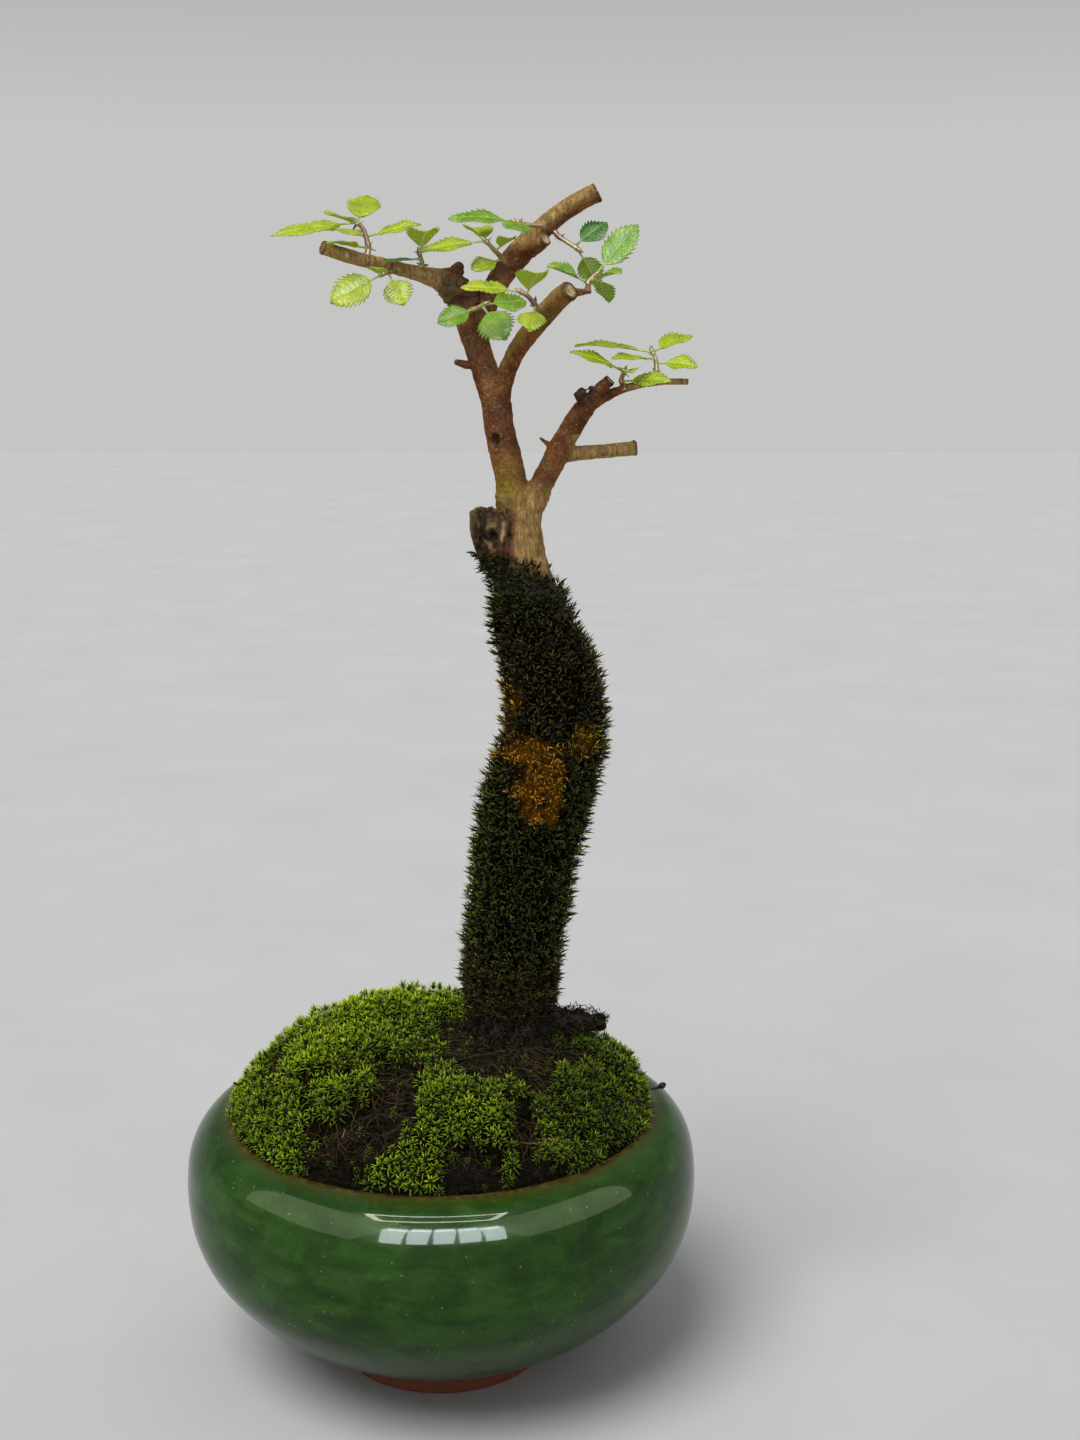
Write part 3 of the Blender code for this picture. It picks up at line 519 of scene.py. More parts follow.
# ------------------------------------------------------------------ camera, light and floor

CAMERA_TILT_DOWN = 11.46

camera_data = bpy.data.cameras.new("camera")
camera_data.lens = 47.4
camera_data.sensor_width = 36.0
camera_data.clip_start = 0.01
camera = bpy.data.objects.new("camera", camera_data)
camera.location = (0.0194, -0.353, 0.200)
camera.rotation_euler = (math.radians(90.0 - CAMERA_TILT_DOWN), 0.0, 0.0)
bpy.context.scene.collection.objects.link(camera)
bpy.context.scene.camera = camera


def reflected_box(name, place, target, width, height, strength, colour):
    """A lit rectangle facing its target, seen only in reflections; strength is watts per area."""
    data = bpy.data.lights.new(name, "AREA")
    data.shape = "RECTANGLE"
    data.size = width
    data.size_y = height
    data.energy = strength * width * height
    data.color = colour
    light = bpy.data.objects.new(name, data)
    light.location = place
    way = Vector(target) - Vector(place)
    light.rotation_euler = way.to_track_quat("-Z", "Y").to_euler()
    light.visible_diffuse = False
    bpy.context.scene.collection.objects.link(light)


def make_sun():
    """A broad soft sun over the viewer's left shoulder."""
    sun_data = bpy.data.lights.new("soft_sun", "SUN")
    sun_data.energy = 1.95
    sun_data.angle = math.radians(34.0)
    sun = bpy.data.objects.new("soft_sun", sun_data)
    sun.rotation_euler = Vector((0.34, 0.52, -1.0)).to_track_quat("-Z", "Y").to_euler()
    sun.visible_glossy = False
    bpy.context.scene.collection.objects.link(sun)


def make_reflected_room():
    """What the glaze shows: a divided window, two pale walls and a skylight's outline."""
    number = 0
    for column in range(5):
        place_x = -0.29 + 0.165 * column
        for place_z, tall in ((0.53, 0.42), (0.83, 0.10)):
            reflected_box(
                "window_pane_%d" % number, (place_x, -0.74, place_z), (place_x * 0.3, 0.0, 0.05),
                0.140, tall, 104.0, (0.88, 0.96, 1.0),
            )
            number += 1
    wall_width, wall_height = 1.66, 1.20
    wall_strength = 22.0 / (wall_width * wall_height)
    for name, place_x in (("pale_wall_left", -1.00), ("pale_wall_right", 1.06)):
        reflected_box(
            name, (place_x, -0.46, 1.00), (0.0, 0.0, 0.05),
            wall_width, wall_height, wall_strength, (0.97, 1.0, 0.72),
        )
    skylight = [
        (-0.02, -0.44, 0.66, 0.045),
        (-0.02, -0.16, 0.66, 0.045),
        (-0.35, -0.30, 0.045, 0.28),
        (0.31, -0.30, 0.045, 0.28),
    ]
    for number, (place_x, place_y, wide, deep) in enumerate(skylight):
        reflected_box(
            "skylight_edge_%d" % number, (place_x, place_y, 1.0), (place_x, place_y + 0.3, 0.0),
            wide, deep, 118.0, (1.0, 0.99, 0.90),
        )


def make_world():
    """Light that is bright round the horizon and softer above it, like a pale studio."""
    world = bpy.data.worlds.new("studio")
    world.use_nodes = True
    nodes = world.node_tree.nodes
    links = world.node_tree.links
    background = nodes["Background"]
    way = nodes.new("ShaderNodeTexCoord").outputs["Generated"]
    split = nodes.new("ShaderNodeSeparateXYZ")
    links.new(way, split.inputs["Vector"])
    ramp = nodes.new("ShaderNodeValToRGB")
    elements = ramp.color_ramp.elements
    elements[0].position = 0.10
    elements[0].color = srgb(197, 197, 196)
    elements[1].position = 1.0
    elements[1].color = srgb(170, 174, 178)
    elements.new(0.34).color = srgb(132, 134, 136)
    links.new(split.outputs["Z"], ramp.inputs["Fac"])
    links.new(ramp.outputs["Color"], background.inputs["Color"])
    bpy.context.scene.world = world


make_sun()
make_reflected_room()
make_world()
bpy.context.scene.view_settings.view_transform = "Standard"

floor = object_from("floor", [(-3, -3, 0), (3, -3, 0), (3, 3, 0), (-3, 3, 0)], [], [[0, 1, 2, 3]])
floor.location.z = -0.05 * MM
floor.data.materials.append(floor_look())


# ------------------------------------------------------------------ pot

POT_LOW, POT_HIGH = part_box("pot")
POT_RADIUS = (POT_HIGH.x - POT_LOW.x) / 2
POT_HEIGHT = POT_HIGH.z
BELLY_HEIGHT = 37.0 * MM
RIM_RADIUS = 42.6 * MM
LIP_WIDTH = 2.4 * MM
LIP_DEPTH = 3.0 * MM
WALL = 3.6 * MM
FOOT_RADIUS = 20.6 * MM
FOOT_HEIGHT = 3.3 * MM
FOOT_RING_WIDTH = 4.5 * MM
FLOOR_UNDERSIDE = 3.0 * MM
FLOOR_TOP = 8.0 * MM
DRAIN_RADIUS = 5.0 * MM
POT_STEPS = 256


def bulge(share, power, root):
    """1 at share 0, falling to 0 at share 1 along a rounded shoulder."""
    return np.maximum(1.0 - np.asarray(share) ** power, 0.0) ** (1.0 / root)


def bowl_side(low, high, low_radius, wide_radius, high_radius, count):
    """The side of a bowl from its high edge down: (radius, height) points."""
    points = []
    for share in np.sin(np.linspace(math.pi / 2, 0.0, count)):
        height = BELLY_HEIGHT + (high - BELLY_HEIGHT) * share
        points.append((high_radius + (wide_radius - high_radius) * bulge(share, 2.5, 2.0), height))
    for share in np.linspace(0.0, 1.0, count)[1:]:
        height = BELLY_HEIGHT - (BELLY_HEIGHT - low) * share
        points.append((low_radius + (wide_radius - low_radius) * bulge(share, 2.3, 1.1), height))
    return points


def rounded(corner, toward, away, reach, count=5):
    """Points that round off a profile's corner between its two neighbours."""
    corner, toward, away = (np.array(point, float) for point in (corner, toward, away))
    first = corner + unit(toward - corner) * reach
    last = corner + unit(away - corner) * reach
    shares = np.linspace(0.0, 1.0, count)
    return [tuple((1 - s) ** 2 * first + 2 * s * (1 - s) * corner + s * s * last) for s in shares]


def turned(name, profile, steps):
    """A closed profile of (radius, height) turned about Z, as one closed mesh."""
    profile = np.array(profile, float)
    angles = np.arange(steps) * 2.0 * math.pi / steps
    ring = np.stack([np.cos(angles), np.sin(angles)], axis=1)
    points = np.concatenate(
        [profile[:, None, 0:1] * ring[None], np.repeat(profile[:, None, 1:2], steps, axis=1)], axis=2
    ).reshape(-1, 3)
    row = np.arange(len(profile))[:, None]
    step = np.arange(steps)[None, :]
    after_row = (row + 1) % len(profile)
    after_step = (step + 1) % steps
    quads = np.stack([
        row * steps + step,
        after_row * steps + step,
        after_row * steps + after_step,
        row * steps + after_step,
    ], axis=-1).reshape(-1, 4)
    return object_from(name, points, [], quads)


def make_pot():
    """The pot turned anew in fine steps, with throwing rings and a slightly uneven wall."""
    lip_edge = POT_HEIGHT - 0.5 * MM
    lip_inner = RIM_RADIUS - LIP_WIDTH
    outside = bowl_side(FOOT_HEIGHT + 0.5 * MM, lip_edge, FOOT_RADIUS, POT_RADIUS, RIM_RADIUS, 26)
    glaze_end = [
        (FOOT_RADIUS + 0.35 * MM, FOOT_HEIGHT + 0.42 * MM),
        (FOOT_RADIUS + 0.30 * MM, FOOT_HEIGHT + 0.12 * MM),
        (FOOT_RADIUS + 0.02 * MM, FOOT_HEIGHT - 0.05 * MM),
    ]
    inner = FOOT_RADIUS - FOOT_RING_WIDTH
    foot = [
        *rounded((FOOT_RADIUS, 0.0), (FOOT_RADIUS, FOOT_HEIGHT), (inner, 0.0), 0.5 * MM),
        *rounded((inner, 0.0), (FOOT_RADIUS, 0.0), (inner, FLOOR_UNDERSIDE), 0.5 * MM),
        *rounded((inner, FLOOR_UNDERSIDE), (inner, 0.0), (0.0, FLOOR_UNDERSIDE), 0.5 * MM),
        (0.6 * (inner + DRAIN_RADIUS), FLOOR_UNDERSIDE),
    ]
    drain_low = (DRAIN_RADIUS, FLOOR_UNDERSIDE)
    drain_high = (DRAIN_RADIUS, FLOOR_TOP)
    drain = [
        *rounded(drain_low, (inner, FLOOR_UNDERSIDE), drain_high, 0.4 * MM),
        *rounded(drain_high, drain_low, (inner, FLOOR_TOP), 0.4 * MM),
    ]
    inside = bowl_side(
        FLOOR_TOP, POT_HEIGHT - LIP_DEPTH, FOOT_RADIUS - 1.0 * MM, POT_RADIUS - WALL, lip_inner, 16
    )
    lip = [
        (lip_inner + 0.02 * MM, lip_edge - 0.8 * MM),
        (lip_inner + 0.12 * MM, lip_edge - 0.1 * MM),
        (lip_inner + 0.45 * MM, POT_HEIGHT - 0.12 * MM),
        (lip_inner + 1.0 * MM, POT_HEIGHT),
        (lip_inner + 1.6 * MM, POT_HEIGHT - 0.03 * MM),
        (lip_inner + 2.1 * MM, POT_HEIGHT - 0.22 * MM),
    ]
    pot = turned("glazed_pot", outside[1:] + glaze_end + foot + drain + inside[::-1] + lip, POT_STEPS)
    mesh = pot.data
    points = points_of(mesh)
    normals = normals_of(mesh)
    above_foot = ease(FOOT_HEIGHT, FOOT_HEIGHT + 4 * MM, points[:, 2])
    below_lip = 1.0 - ease(POT_HEIGHT - 1.5 * MM, POT_HEIGHT, points[:, 2])
    clear_of_widest = np.hypot(points[:, 0], points[:, 1]) < POT_RADIUS - 0.2 * MM
    throwing = np.sin(points[:, 2] / (1.15 * MM) + 0.6 * wander(points, 30 * MM, 2)) * 0.018 * MM
    uneven = wander(points, 17 * MM, 5) * 0.14 * MM * clear_of_widest
    move_points(mesh, points + normals * ((throwing + uneven) * above_foot * below_lip)[:, None])
    finished(pot, glaze_look(), "glaze", "pot")


make_pot()
NODES["drainage_mesh"].data.materials[0] = plastic_look()
NODES["mesh_wire"].data.materials[0] = wire_look()


# ------------------------------------------------------------------ soil

SOIL_RADIUS = RIM_RADIUS - LIP_WIDTH - 0.3 * MM
SOIL_EDGE = POT_HEIGHT - 2.0 * MM
SOIL_RISE = 16.8 * MM
TRUNK_FOOT = np.array([13.4 * MM, 0.0, SOIL_EDGE + SOIL_RISE])
# Low swellings on the mound: x, y, height and half width in millimetres.
SWELLINGS = [(24.0, 3.0, 2.4, 6.0), (-17.0, 8.0, 1.4, 8.0)]


def rise_above_foot(points):
    """Height above the trunk's foot, in millimetres."""
    return (points[:, 2] - TRUNK_FOOT[2]) / MM


def soil_height(x, y):
    """Height of the soil's smooth surface above the ground."""
    reach = np.minimum(np.hypot(x, y) / SOIL_RADIUS, 1.0)
    total = SOIL_EDGE + SOIL_RISE * bulge(reach, 2.5, 2.0)
    for centre_x, centre_y, height, half_width in SWELLINGS:
        away = np.hypot(x - centre_x * MM, y - centre_y * MM) / (half_width * MM)
        total = total + height * MM * np.exp(-away * away / 2) * (1.0 - reach ** 4)
    return total


def make_soil():
    """The soil with a crumbly surface above the rim."""
    soil = remeshed("potting_soil", "soil", voxel=0.55 * MM, smoothing=1)
    points = points_of(soil.data)
    top = points[:, 2] > SOIL_EDGE + 0.3 * MM
    normals = normals_of(soil.data)
    rise = np.zeros(len(points))
    rise[top] = rough(points[top], 3.2 * MM, 3, 3) * 0.55 * MM
    rise[top] += np.abs(wander(points[top], 1.1 * MM, 8)) * 0.5 * MM
    move_points(soil.data, points + normals * rise[:, None])
    finished(soil, SOIL_LOOK, "soil", "soil")


SOIL_LOOK = soil_look()
make_soil()


# ------------------------------------------------------------------ scattered pieces

# The shade, across a blade look's u, at which a blade is dry.
DRY_SHADE = 0.98


def blade(length, width, climb, droop, segments):
    """One pointed moss leaf along +X: points, triangles, and (side, along) for each point."""
    shares = np.linspace(0.0, 1.0, segments + 1)[:-1]
    rows = []
    marks = []
    for share in shares:
        half = width / 2 * (0.75 + 1.1 * share) * (1.0 - share) ** 0.7
        x = length * share
        z = math.tan(climb) * x - droop * length * share * share
        rows += [(x, 0.0, z - 0.35 * half), (x, half, z + 0.1 * half), (x, -half, z + 0.1 * half)]
        marks += [(side, share) for side in (0.0, 1.0, -1.0)]
    rows.append((length, 0.0, math.tan(climb) * length - droop * length))
    marks.append((0.0, 1.0))
    faces = [(0, 2, 1)]
    for k in range(segments - 1):
        low, high = 3 * k, 3 * k + 3
        for a, b in ((0, 1), (1, 2), (2, 0)):
            faces += [(low + a, low + b, high + b), (low + a, high + b, high + a)]
    last = 3 * (segments - 1)
    for a, b in ((0, 1), (1, 2), (2, 0)):
        faces.append((last + a, last + b, 3 * segments))
    return np.array(rows), np.array(faces), np.array(marks)


def joined(parts):
    """Several (points, triangles, marks) as one."""
    points, faces, marks = [], [], []
    start = 0
    for part_points, part_faces, part_marks in parts:
        points.append(part_points)
        faces.append(part_faces + start)
        marks.append(part_marks)
        start += len(part_points)
    return np.concatenate(points), np.concatenate(faces), np.concatenate(marks)


def turned_part(part, spin, lift):
    """A part spun about Z and raised."""
    points, faces, marks = part
    c, s = math.cos(spin), math.sin(spin)
    turn = np.array([[c, -s, 0.0], [s, c, 0.0], [0.0, 0.0, 1.0]])
    return points @ turn.T + np.array([0.0, 0.0, lift]), faces, marks


def star(whorls, width, length):
    """A moss shoot seen as a star: whorls of (height, count, climb in degrees, length share)."""
    parts = []
    spin = CHANCE.uniform(0.0, 6.28)
    for height, count, climb, share in whorls:
        for _ in range(count):
            spin += 2.0 * math.pi / count + CHANCE.uniform(-0.25, 0.25)
            reach = length * share * CHANCE.uniform(0.75, 1.2)
            rise = math.radians(climb + CHANCE.uniform(-10.0, 10.0))
            leaf = blade(reach * math.cos(rise), width * CHANCE.uniform(0.8, 1.2), rise, 0.25, 2)
            parts.append(turned_part(leaf, spin, height))
        spin += 0.5
    return joined(parts)


def scatter(name, templates, places, ups, sizes, shades, material, slot):
    """Copies of templates as one mesh: each stands at a place along its own up direction."""
    ups = unit(ups)
    spins = CHANCE.uniform(0.0, 2.0 * math.pi, len(places))
    helper = np.where(np.abs(ups[:, 2:3]) < 0.9, [[0.0, 0.0, 1.0]], [[1.0, 0.0, 0.0]])
    sides = unit(np.cross(helper, ups))
    fronts = np.cross(ups, sides)
    c, s = np.cos(spins)[:, None], np.sin(spins)[:, None]
    axes = np.stack([sides * c + fronts * s, fronts * c - sides * s, ups], axis=1)
    kinds = CHANCE.integers(0, len(templates), len(places))
    all_points, all_faces, all_marks = [], [], []
    start = 0
    for kind, (points, faces, marks) in enumerate(templates):
        chosen = np.flatnonzero(kinds == kind)
        if not len(chosen):
            continue
        local = points[None] * sizes[chosen][:, None, None]
        moved = np.einsum("nij,njk->nik", local, axes[chosen]) + places[chosen][:, None]
        all_points.append(moved.reshape(-1, 3))
        offsets = start + np.arange(len(chosen)) * len(points)
        all_faces.append((faces[None] + offsets[:, None, None]).reshape(-1, 3))
        u = shades[chosen][:, None] + 0.004 * marks[None, :, 0]
        v = np.broadcast_to(marks[None, :, 1], u.shape)
        all_marks.append(np.stack([u, v], axis=-1).reshape(-1, 2))
        start += len(chosen) * len(points)
    obj = object_from(name, np.concatenate(all_points), np.concatenate(all_faces))
    lay_uv(obj.data, np.clip(np.concatenate(all_marks), 0.005, 0.995))
    finished(obj, material, slot)


def surface_samples(mesh, count, keep):
    """Random places on the faces that keep lets through, evenly spread, with the faces' normals."""
    mesh.calc_loop_triangles()
    corners = np.array([t.vertices[:] for t in mesh.loop_triangles])
    points = points_of(mesh)[corners]
    cross = np.cross(points[:, 1] - points[:, 0], points[:, 2] - points[:, 0])
    areas = np.linalg.norm(cross, axis=1) * keep(points.mean(axis=1), unit(cross))
    chosen = CHANCE.choice(len(areas), count, p=areas / areas.sum())
    a = np.sqrt(CHANCE.random(count))[:, None]
    b = CHANCE.random(count)[:, None]
    tri = points[chosen]
    places = tri[:, 0] * (1 - a) + tri[:, 1] * a * (1 - b) + tri[:, 2] * a * b
    return places, unit(cross[chosen])


def thinned(places, spacing):
    """Indices of places kept so that no two are closer than the spacing."""
    taken = {}
    kept = []
    cells = np.floor(places / spacing).astype(int)
    for number, (place, cell) in enumerate(zip(places, cells)):
        around = itertools.product(*((index - 1, index, index + 1) for index in cell))
        others = [other for neighbour in around for other in taken.get(neighbour, ())]
        if all(np.sum((places[other] - place) ** 2) >= spacing * spacing for other in others):
            taken.setdefault(tuple(cell), []).append(number)
            kept.append(number)
    return np.array(kept)


def tube(points, radii, sides):
    """A round bar with closed ends along points: points, triangles, and (side, along) marks."""
    points = np.asarray(points, float)
    radii = np.broadcast_to(np.asarray(radii, float), (len(points),))
    ways = unit(np.gradient(points, axis=0))
    side = unit(np.cross(ways[0], [0.0, 0.0, 1.0] if abs(ways[0][2]) < 0.9 else [1.0, 0.0, 0.0]))
    angles = np.arange(sides) * 2.0 * math.pi / sides
    rings = []
    for place, way, radius in zip(points, ways, radii):
        side = unit(side - way * side.dot(way))
        up = np.cross(way, side)
        rings.append(place + radius * (np.outer(np.cos(angles), side) + np.outer(np.sin(angles), up)))
    count = len(points)
    row, step = np.meshgrid(np.arange(count - 1), np.arange(sides), indexing="ij")
    a = row * sides + step
    b = row * sides + (step + 1) % sides
    faces = np.concatenate([
        np.stack([a, b, b + sides], axis=-1).reshape(-1, 3),
        np.stack([a, b + sides, a + sides], axis=-1).reshape(-1, 3),
    ])
    first, last = count * sides, count * sides + 1
    start_cap = [(first, (k + 1) % sides, k) for k in range(sides)]
    end = (count - 1) * sides
    end_cap = [(last, end + k, end + (k + 1) % sides) for k in range(sides)]
    body = np.concatenate(rings + [points[:1], points[-1:]])
    marks = np.zeros((len(body), 2))
    marks[:count * sides, 1] = np.repeat(np.linspace(0.0, 1.0, count), sides)
    marks[last, 1] = 1.0
    return body, np.concatenate([faces, start_cap, end_cap]).astype(int), marks


def curved(points, count):
    """A smooth curve through points, sampled evenly by station."""
    points = np.asarray(points, float)
    padded = np.concatenate([2 * points[:1] - points[1:2], points, 2 * points[-1:] - points[-2:-1]])
    stations = np.linspace(0.0, len(points) - 1, count)
    index = np.minimum(stations.astype(int), len(points) - 2)
    t = (stations - index)[:, None]
    p0, p1, p2, p3 = (padded[index + k] for k in range(4))
    return 0.5 * (
        2 * p1 + (p2 - p0) * t + (2 * p0 - 5 * p1 + 4 * p2 - p3) * t ** 2
        + (3 * p1 - p0 - 3 * p2 + p3) * t ** 3
    )


# ------------------------------------------------------------------ moss on the soil

CUSHIONS = sorted(name for name in NODES if name.startswith("moss_"))
MOSS_SECTORS = 7
# How many places are tried on the dome; crowded and unfitting ones are left out.
STARS_TRIED = 26000
CRUMBS_TRIED = 9000
FIBRES_TRIED = 4600
# Bare dark patches seen from above: x, y, half widths along and across, and their turn in degrees.
BARE_PATCHES = [
    (-31.5, -4.0, 2.4, 12.0, 0.0),
    (12.0, -9.0, 17.0, 12.5, 0.0),
    (-15.0, -34.5, 11.5, 6.5, 12.0),
    (-7.0, -23.0, 4.2, 9.0, 0.0),
    (16.5, -32.5, 2.2, 7.0, 0.0),
    (7.5, -37.5, 4.5, 2.6, 0.0),
    (21.0, -34.5, 7.0, 1.8, 30.0),
    (-20.0, -19.5, 6.0, 1.6, -20.0),
    (5.0, 24.0, 9.0, 2.6, 15.0),
    (30.0, 12.0, 2.6, 8.0, 25.0),
]
# Brighter and duller regions seen from above: x, y, half width and how much brighter.
TONES = [
    (-18.0, 12.0, 22.0, 0.24),
    (-24.0, -16.0, 10.0, 0.14),
    (5.0, -31.0, 9.0, 0.12),
    (34.0, -2.0, 10.0, -0.14),
    (26.0, -22.0, 12.0, -0.29),
    (24.0, -8.0, 6.0, -0.20),
]


def bareness(x, y):
    """1 in the middle of a bare patch and 0 well outside them all, with ragged edges."""
    x, y = np.asarray(x) / MM, np.asarray(y) / MM
    places = np.stack([x, y, np.zeros_like(x)], axis=-1)
    ragged = 0.62 * rough(places, 4.2, 4, 4)
    most = np.zeros_like(x)
    for centre_x, centre_y, along, across, turn in BARE_PATCHES:
        c, s = math.cos(math.radians(turn)), math.sin(math.radians(turn))
        dx, dy = x - centre_x, y - centre_y
        away = np.hypot((dx * c + dy * s) / along, (dy * c - dx * s) / across)
        most = np.maximum(most, 1.0 - ease(0.62, 1.25, away + ragged))
    return most


def tone(x, y):
    """How much brighter or duller the moss is at each place."""
    total = np.zeros_like(x)
    for centre_x, centre_y, half_width, brighter in TONES:
        away = np.hypot(x / MM - centre_x, y / MM - centre_y) / half_width
        total = total + brighter * np.exp(-away * away)
    return total


def clumps(x, y):
    """The moss's lumpy rise and fall, from about -1 to 1."""
    places = np.stack([x, y, np.zeros_like(x)], axis=-1)
    return np.clip(1.3 * rough(places, 7.0 * MM, 9, 2), -1.0, 1.0)


def moss_share(x, y, bare):
    """How much of each cushion's height the matted growth fills, less at the back and at bare soil."""
    return 0.58 - 0.34 * ease(-4 * MM, 10 * MM, y) - 0.80 * bare + 0.20 * clumps(x, y)


def make_cushion_mats():
    """The dark matted growth under each cushion's green tips; its near-black colour is partly the
    growth's own and partly painted shade in the gaps between the shoots.
    """
    look = mat_look("moss_mat", srgb(8, 7, 2), srgb(32, 32, 9))
    for name in CUSHIONS:
        mat = remeshed(name + "_mat", name, voxel=0.6 * MM, smoothing=2)
        points = points_of(mat.data)
        x, y, z = points.T
        ground = soil_height(x, y)
        share = moss_share(x, y, bareness(x, y))
        lowered = ground + 0.2 * MM + (z - ground) * share
        points[:, 2] = np.where(z > ground + 0.5 * MM, lowered, z)
        points += normals_of(mat.data) * (wander(points, 1.4 * MM, 6) * 0.25 * MM)[:, None]
        move_points(mat.data, points)
        finished(mat, look, "moss", name)


def cushion_trees():
    """The cushions' CAD shapes, to be asked for heights."""
    trees = []
    for name in CUSHIONS:
        bm = welded_copy(name)
        trees.append(BVHTree.FromBMesh(bm))
        bm.free()
    return trees


def surface_under(trees, x, y):
    """Height of the cushions' top, or of the soil where there is no cushion."""
    best = float(soil_height(x, y))
    for tree in trees:
        hit, _, _, _ = tree.ray_cast(Vector((x, y, 0.2)), Vector((0.0, 0.0, -1.0)))
        if hit is not None:
            best = max(best, hit.z)
    return best


def mat_heights(trees, x, y, bare):
    """Height of the matted growth, or of the soil where there is none."""
    top = np.array([surface_under(trees, a, b) for a, b in zip(x, y)])
    ground = soil_height(x, y)
    return ground + (top - ground) * np.maximum(moss_share(x, y, bare), 0.0)


def star_kinds():
    """Seven moss stars of four whorls each."""
    kinds = []
    for _ in range(7):
        kinds.append(star([
            (0.3 * MM, 4, 6, 0.8),
            (0.8 * MM, 5, 20, 1.0),
            (1.3 * MM, 5, 40, 1.0),
            (1.6 * MM, 4, 64, 0.8),
        ], 0.36 * MM, 1.75 * MM))
    return kinds


def dome_up(x, y):
    """Upward direction of the dome's surface."""
    step = 0.4 * MM
    slope_x = (soil_height(x + step, y) - soil_height(x - step, y)) / (2 * step)
    slope_y = (soil_height(x, y + step) - soil_height(x, y - step)) / (2 * step)
    return unit(np.stack([-slope_x, -slope_y, np.ones_like(x)], axis=-1))


def spread_over_dome(count):
    """Even random places on the dome's surface, outside the trunk and inside the rim."""
    edge = SOIL_RADIUS - 0.15 * MM
    radii = edge * np.sin(np.linspace(0.0, math.pi / 2, 400))
    heights = SOIL_EDGE + SOIL_RISE * bulge(radii / SOIL_RADIUS, 2.5, 2.0)
    strips = np.hypot(np.diff(radii), np.diff(heights)) * (radii[1:] + radii[:-1])
    reached = np.concatenate([[0.0], np.cumsum(strips) / strips.sum()])
    away = np.interp(CHANCE.random(count), reached, radii)
    angle = CHANCE.uniform(0.0, 2.0 * math.pi, count)
    x, y = away * np.cos(angle), away * np.sin(angle)
    clear = np.hypot(x - TRUNK_FOOT[0], y - TRUNK_FOOT[1]) > 8.2 * MM
    return x[clear], y[clear]


def make_ground_moss(trees):
    """Thousands of moss stars over the dome, thin and small on bare soil, in seven pieces."""
    x, y = spread_over_dome(STARS_TRIED)
    bare = bareness(x, y)
    lump = clumps(x, y)
    places = np.stack([x, y, mat_heights(trees, x, y, bare) + 0.1 * MM], axis=-1)
    kept = thinned(places, 1.36 * MM)
    kept = kept[CHANCE.random(len(kept)) < 0.20 + 0.78 * (1.0 - bare[kept]) ** 1.6]
    places, bare, lump = places[kept], bare[kept], lump[kept]
    ups = dome_up(places[:, 0], places[:, 1])
    ups = ups * 0.55 + np.array([0.0, 0.0, 0.55]) + CHANCE.normal(0.0, 0.16, ups.shape)
    sizes = CHANCE.uniform(0.75, 1.28, len(places)) * (1.0 - 0.45 * bare) * (1.0 + 0.12 * lump)
    fine = wander(places, 2.6 * MM, 12)
    shades = 0.50 + 0.24 * lump + 0.24 * fine + tone(places[:, 0], places[:, 1]) - 0.34 * bare
    shades = np.clip(shades + CHANCE.normal(0.0, 0.07, len(places)), 0.06, 0.93)
    shades[CHANCE.random(len(places)) < 0.004] = DRY_SHADE
    # The blades darken to near black at their feet: partly the moss's older growth, partly painted shade
    # deep among the shoots.
    look = blade_look(
        "star_moss", srgb(116, 106, 44),
        (0.0, 7, 11, 0), (0.30, 50, 72, 2), (0.62, 138, 176, 2), (1.0, 226, 242, 46),
    )
    turns = np.arctan2(places[:, 1], places[:, 0] - TRUNK_FOOT[0]) / (2 * math.pi)
    sectors = (turns % 1.0 * MOSS_SECTORS).astype(int)
    kinds = star_kinds()
    for number in range(MOSS_SECTORS):
        chosen = sectors == number
        scatter(
            "moss_stars_%d" % (number + 1), kinds, places[chosen], ups[chosen], sizes[chosen],
            shades[chosen], look, "moss",
        )


def crumb_kinds():
    """Six lumpy crumbs of soil."""
    kinds = []
    for number in range(6):
        bm = bmesh.new()
        bmesh.ops.create_icosphere(bm, subdivisions=1, radius=0.5 * MM)
        bm.normal_update()
        points = np.array([v.co for v in bm.verts])
        points *= (1.0 + 0.35 * wander(points, 0.5 * MM, 20 + number))[:, None]
        points *= CHANCE.uniform(0.65, 1.25, 3)
        faces = np.array([[v.index for v in face.verts] for face in bm.faces])
        bm.free()
        kinds.append((points, faces, np.full((len(points), 2), 0.5)))
    return kinds


def make_crumbs(trees):
    """Loose soil crumbs, most of them on the bare patches."""
    x, y = spread_over_dome(CRUMBS_TRIED)
    chosen = CHANCE.random(len(x)) < 0.10 + 0.90 * bareness(x, y)
    x, y = x[chosen], y[chosen]
    places = np.stack([x, y, mat_heights(trees, x, y, bareness(x, y)) + 0.30 * MM], axis=-1)
    ups = CHANCE.normal(0.0, 1.0, places.shape)
    sizes = CHANCE.uniform(0.35, 1.35, len(places))
    shades = np.full(len(places), 0.5)
    scatter("soil_crumbs", crumb_kinds(), places, ups, sizes, shades, SOIL_LOOK, "soil")


def threads_from(name, parts, shades, look, slot):
    """Many thin tubes as one piece, each with its own shade."""
    points, faces, marks = joined(parts)
    obj = object_from(name, points, faces)
    shade = np.repeat(shades, [len(part[0]) for part in parts])
    side = np.tile([0.004, -0.004], len(points) // 2 + 1)[:len(points)]
    lay_uv(obj.data, np.clip(np.stack([shade + side, marks[:, 1]], axis=-1), 0.005, 0.995))
    finished(obj, look, slot)


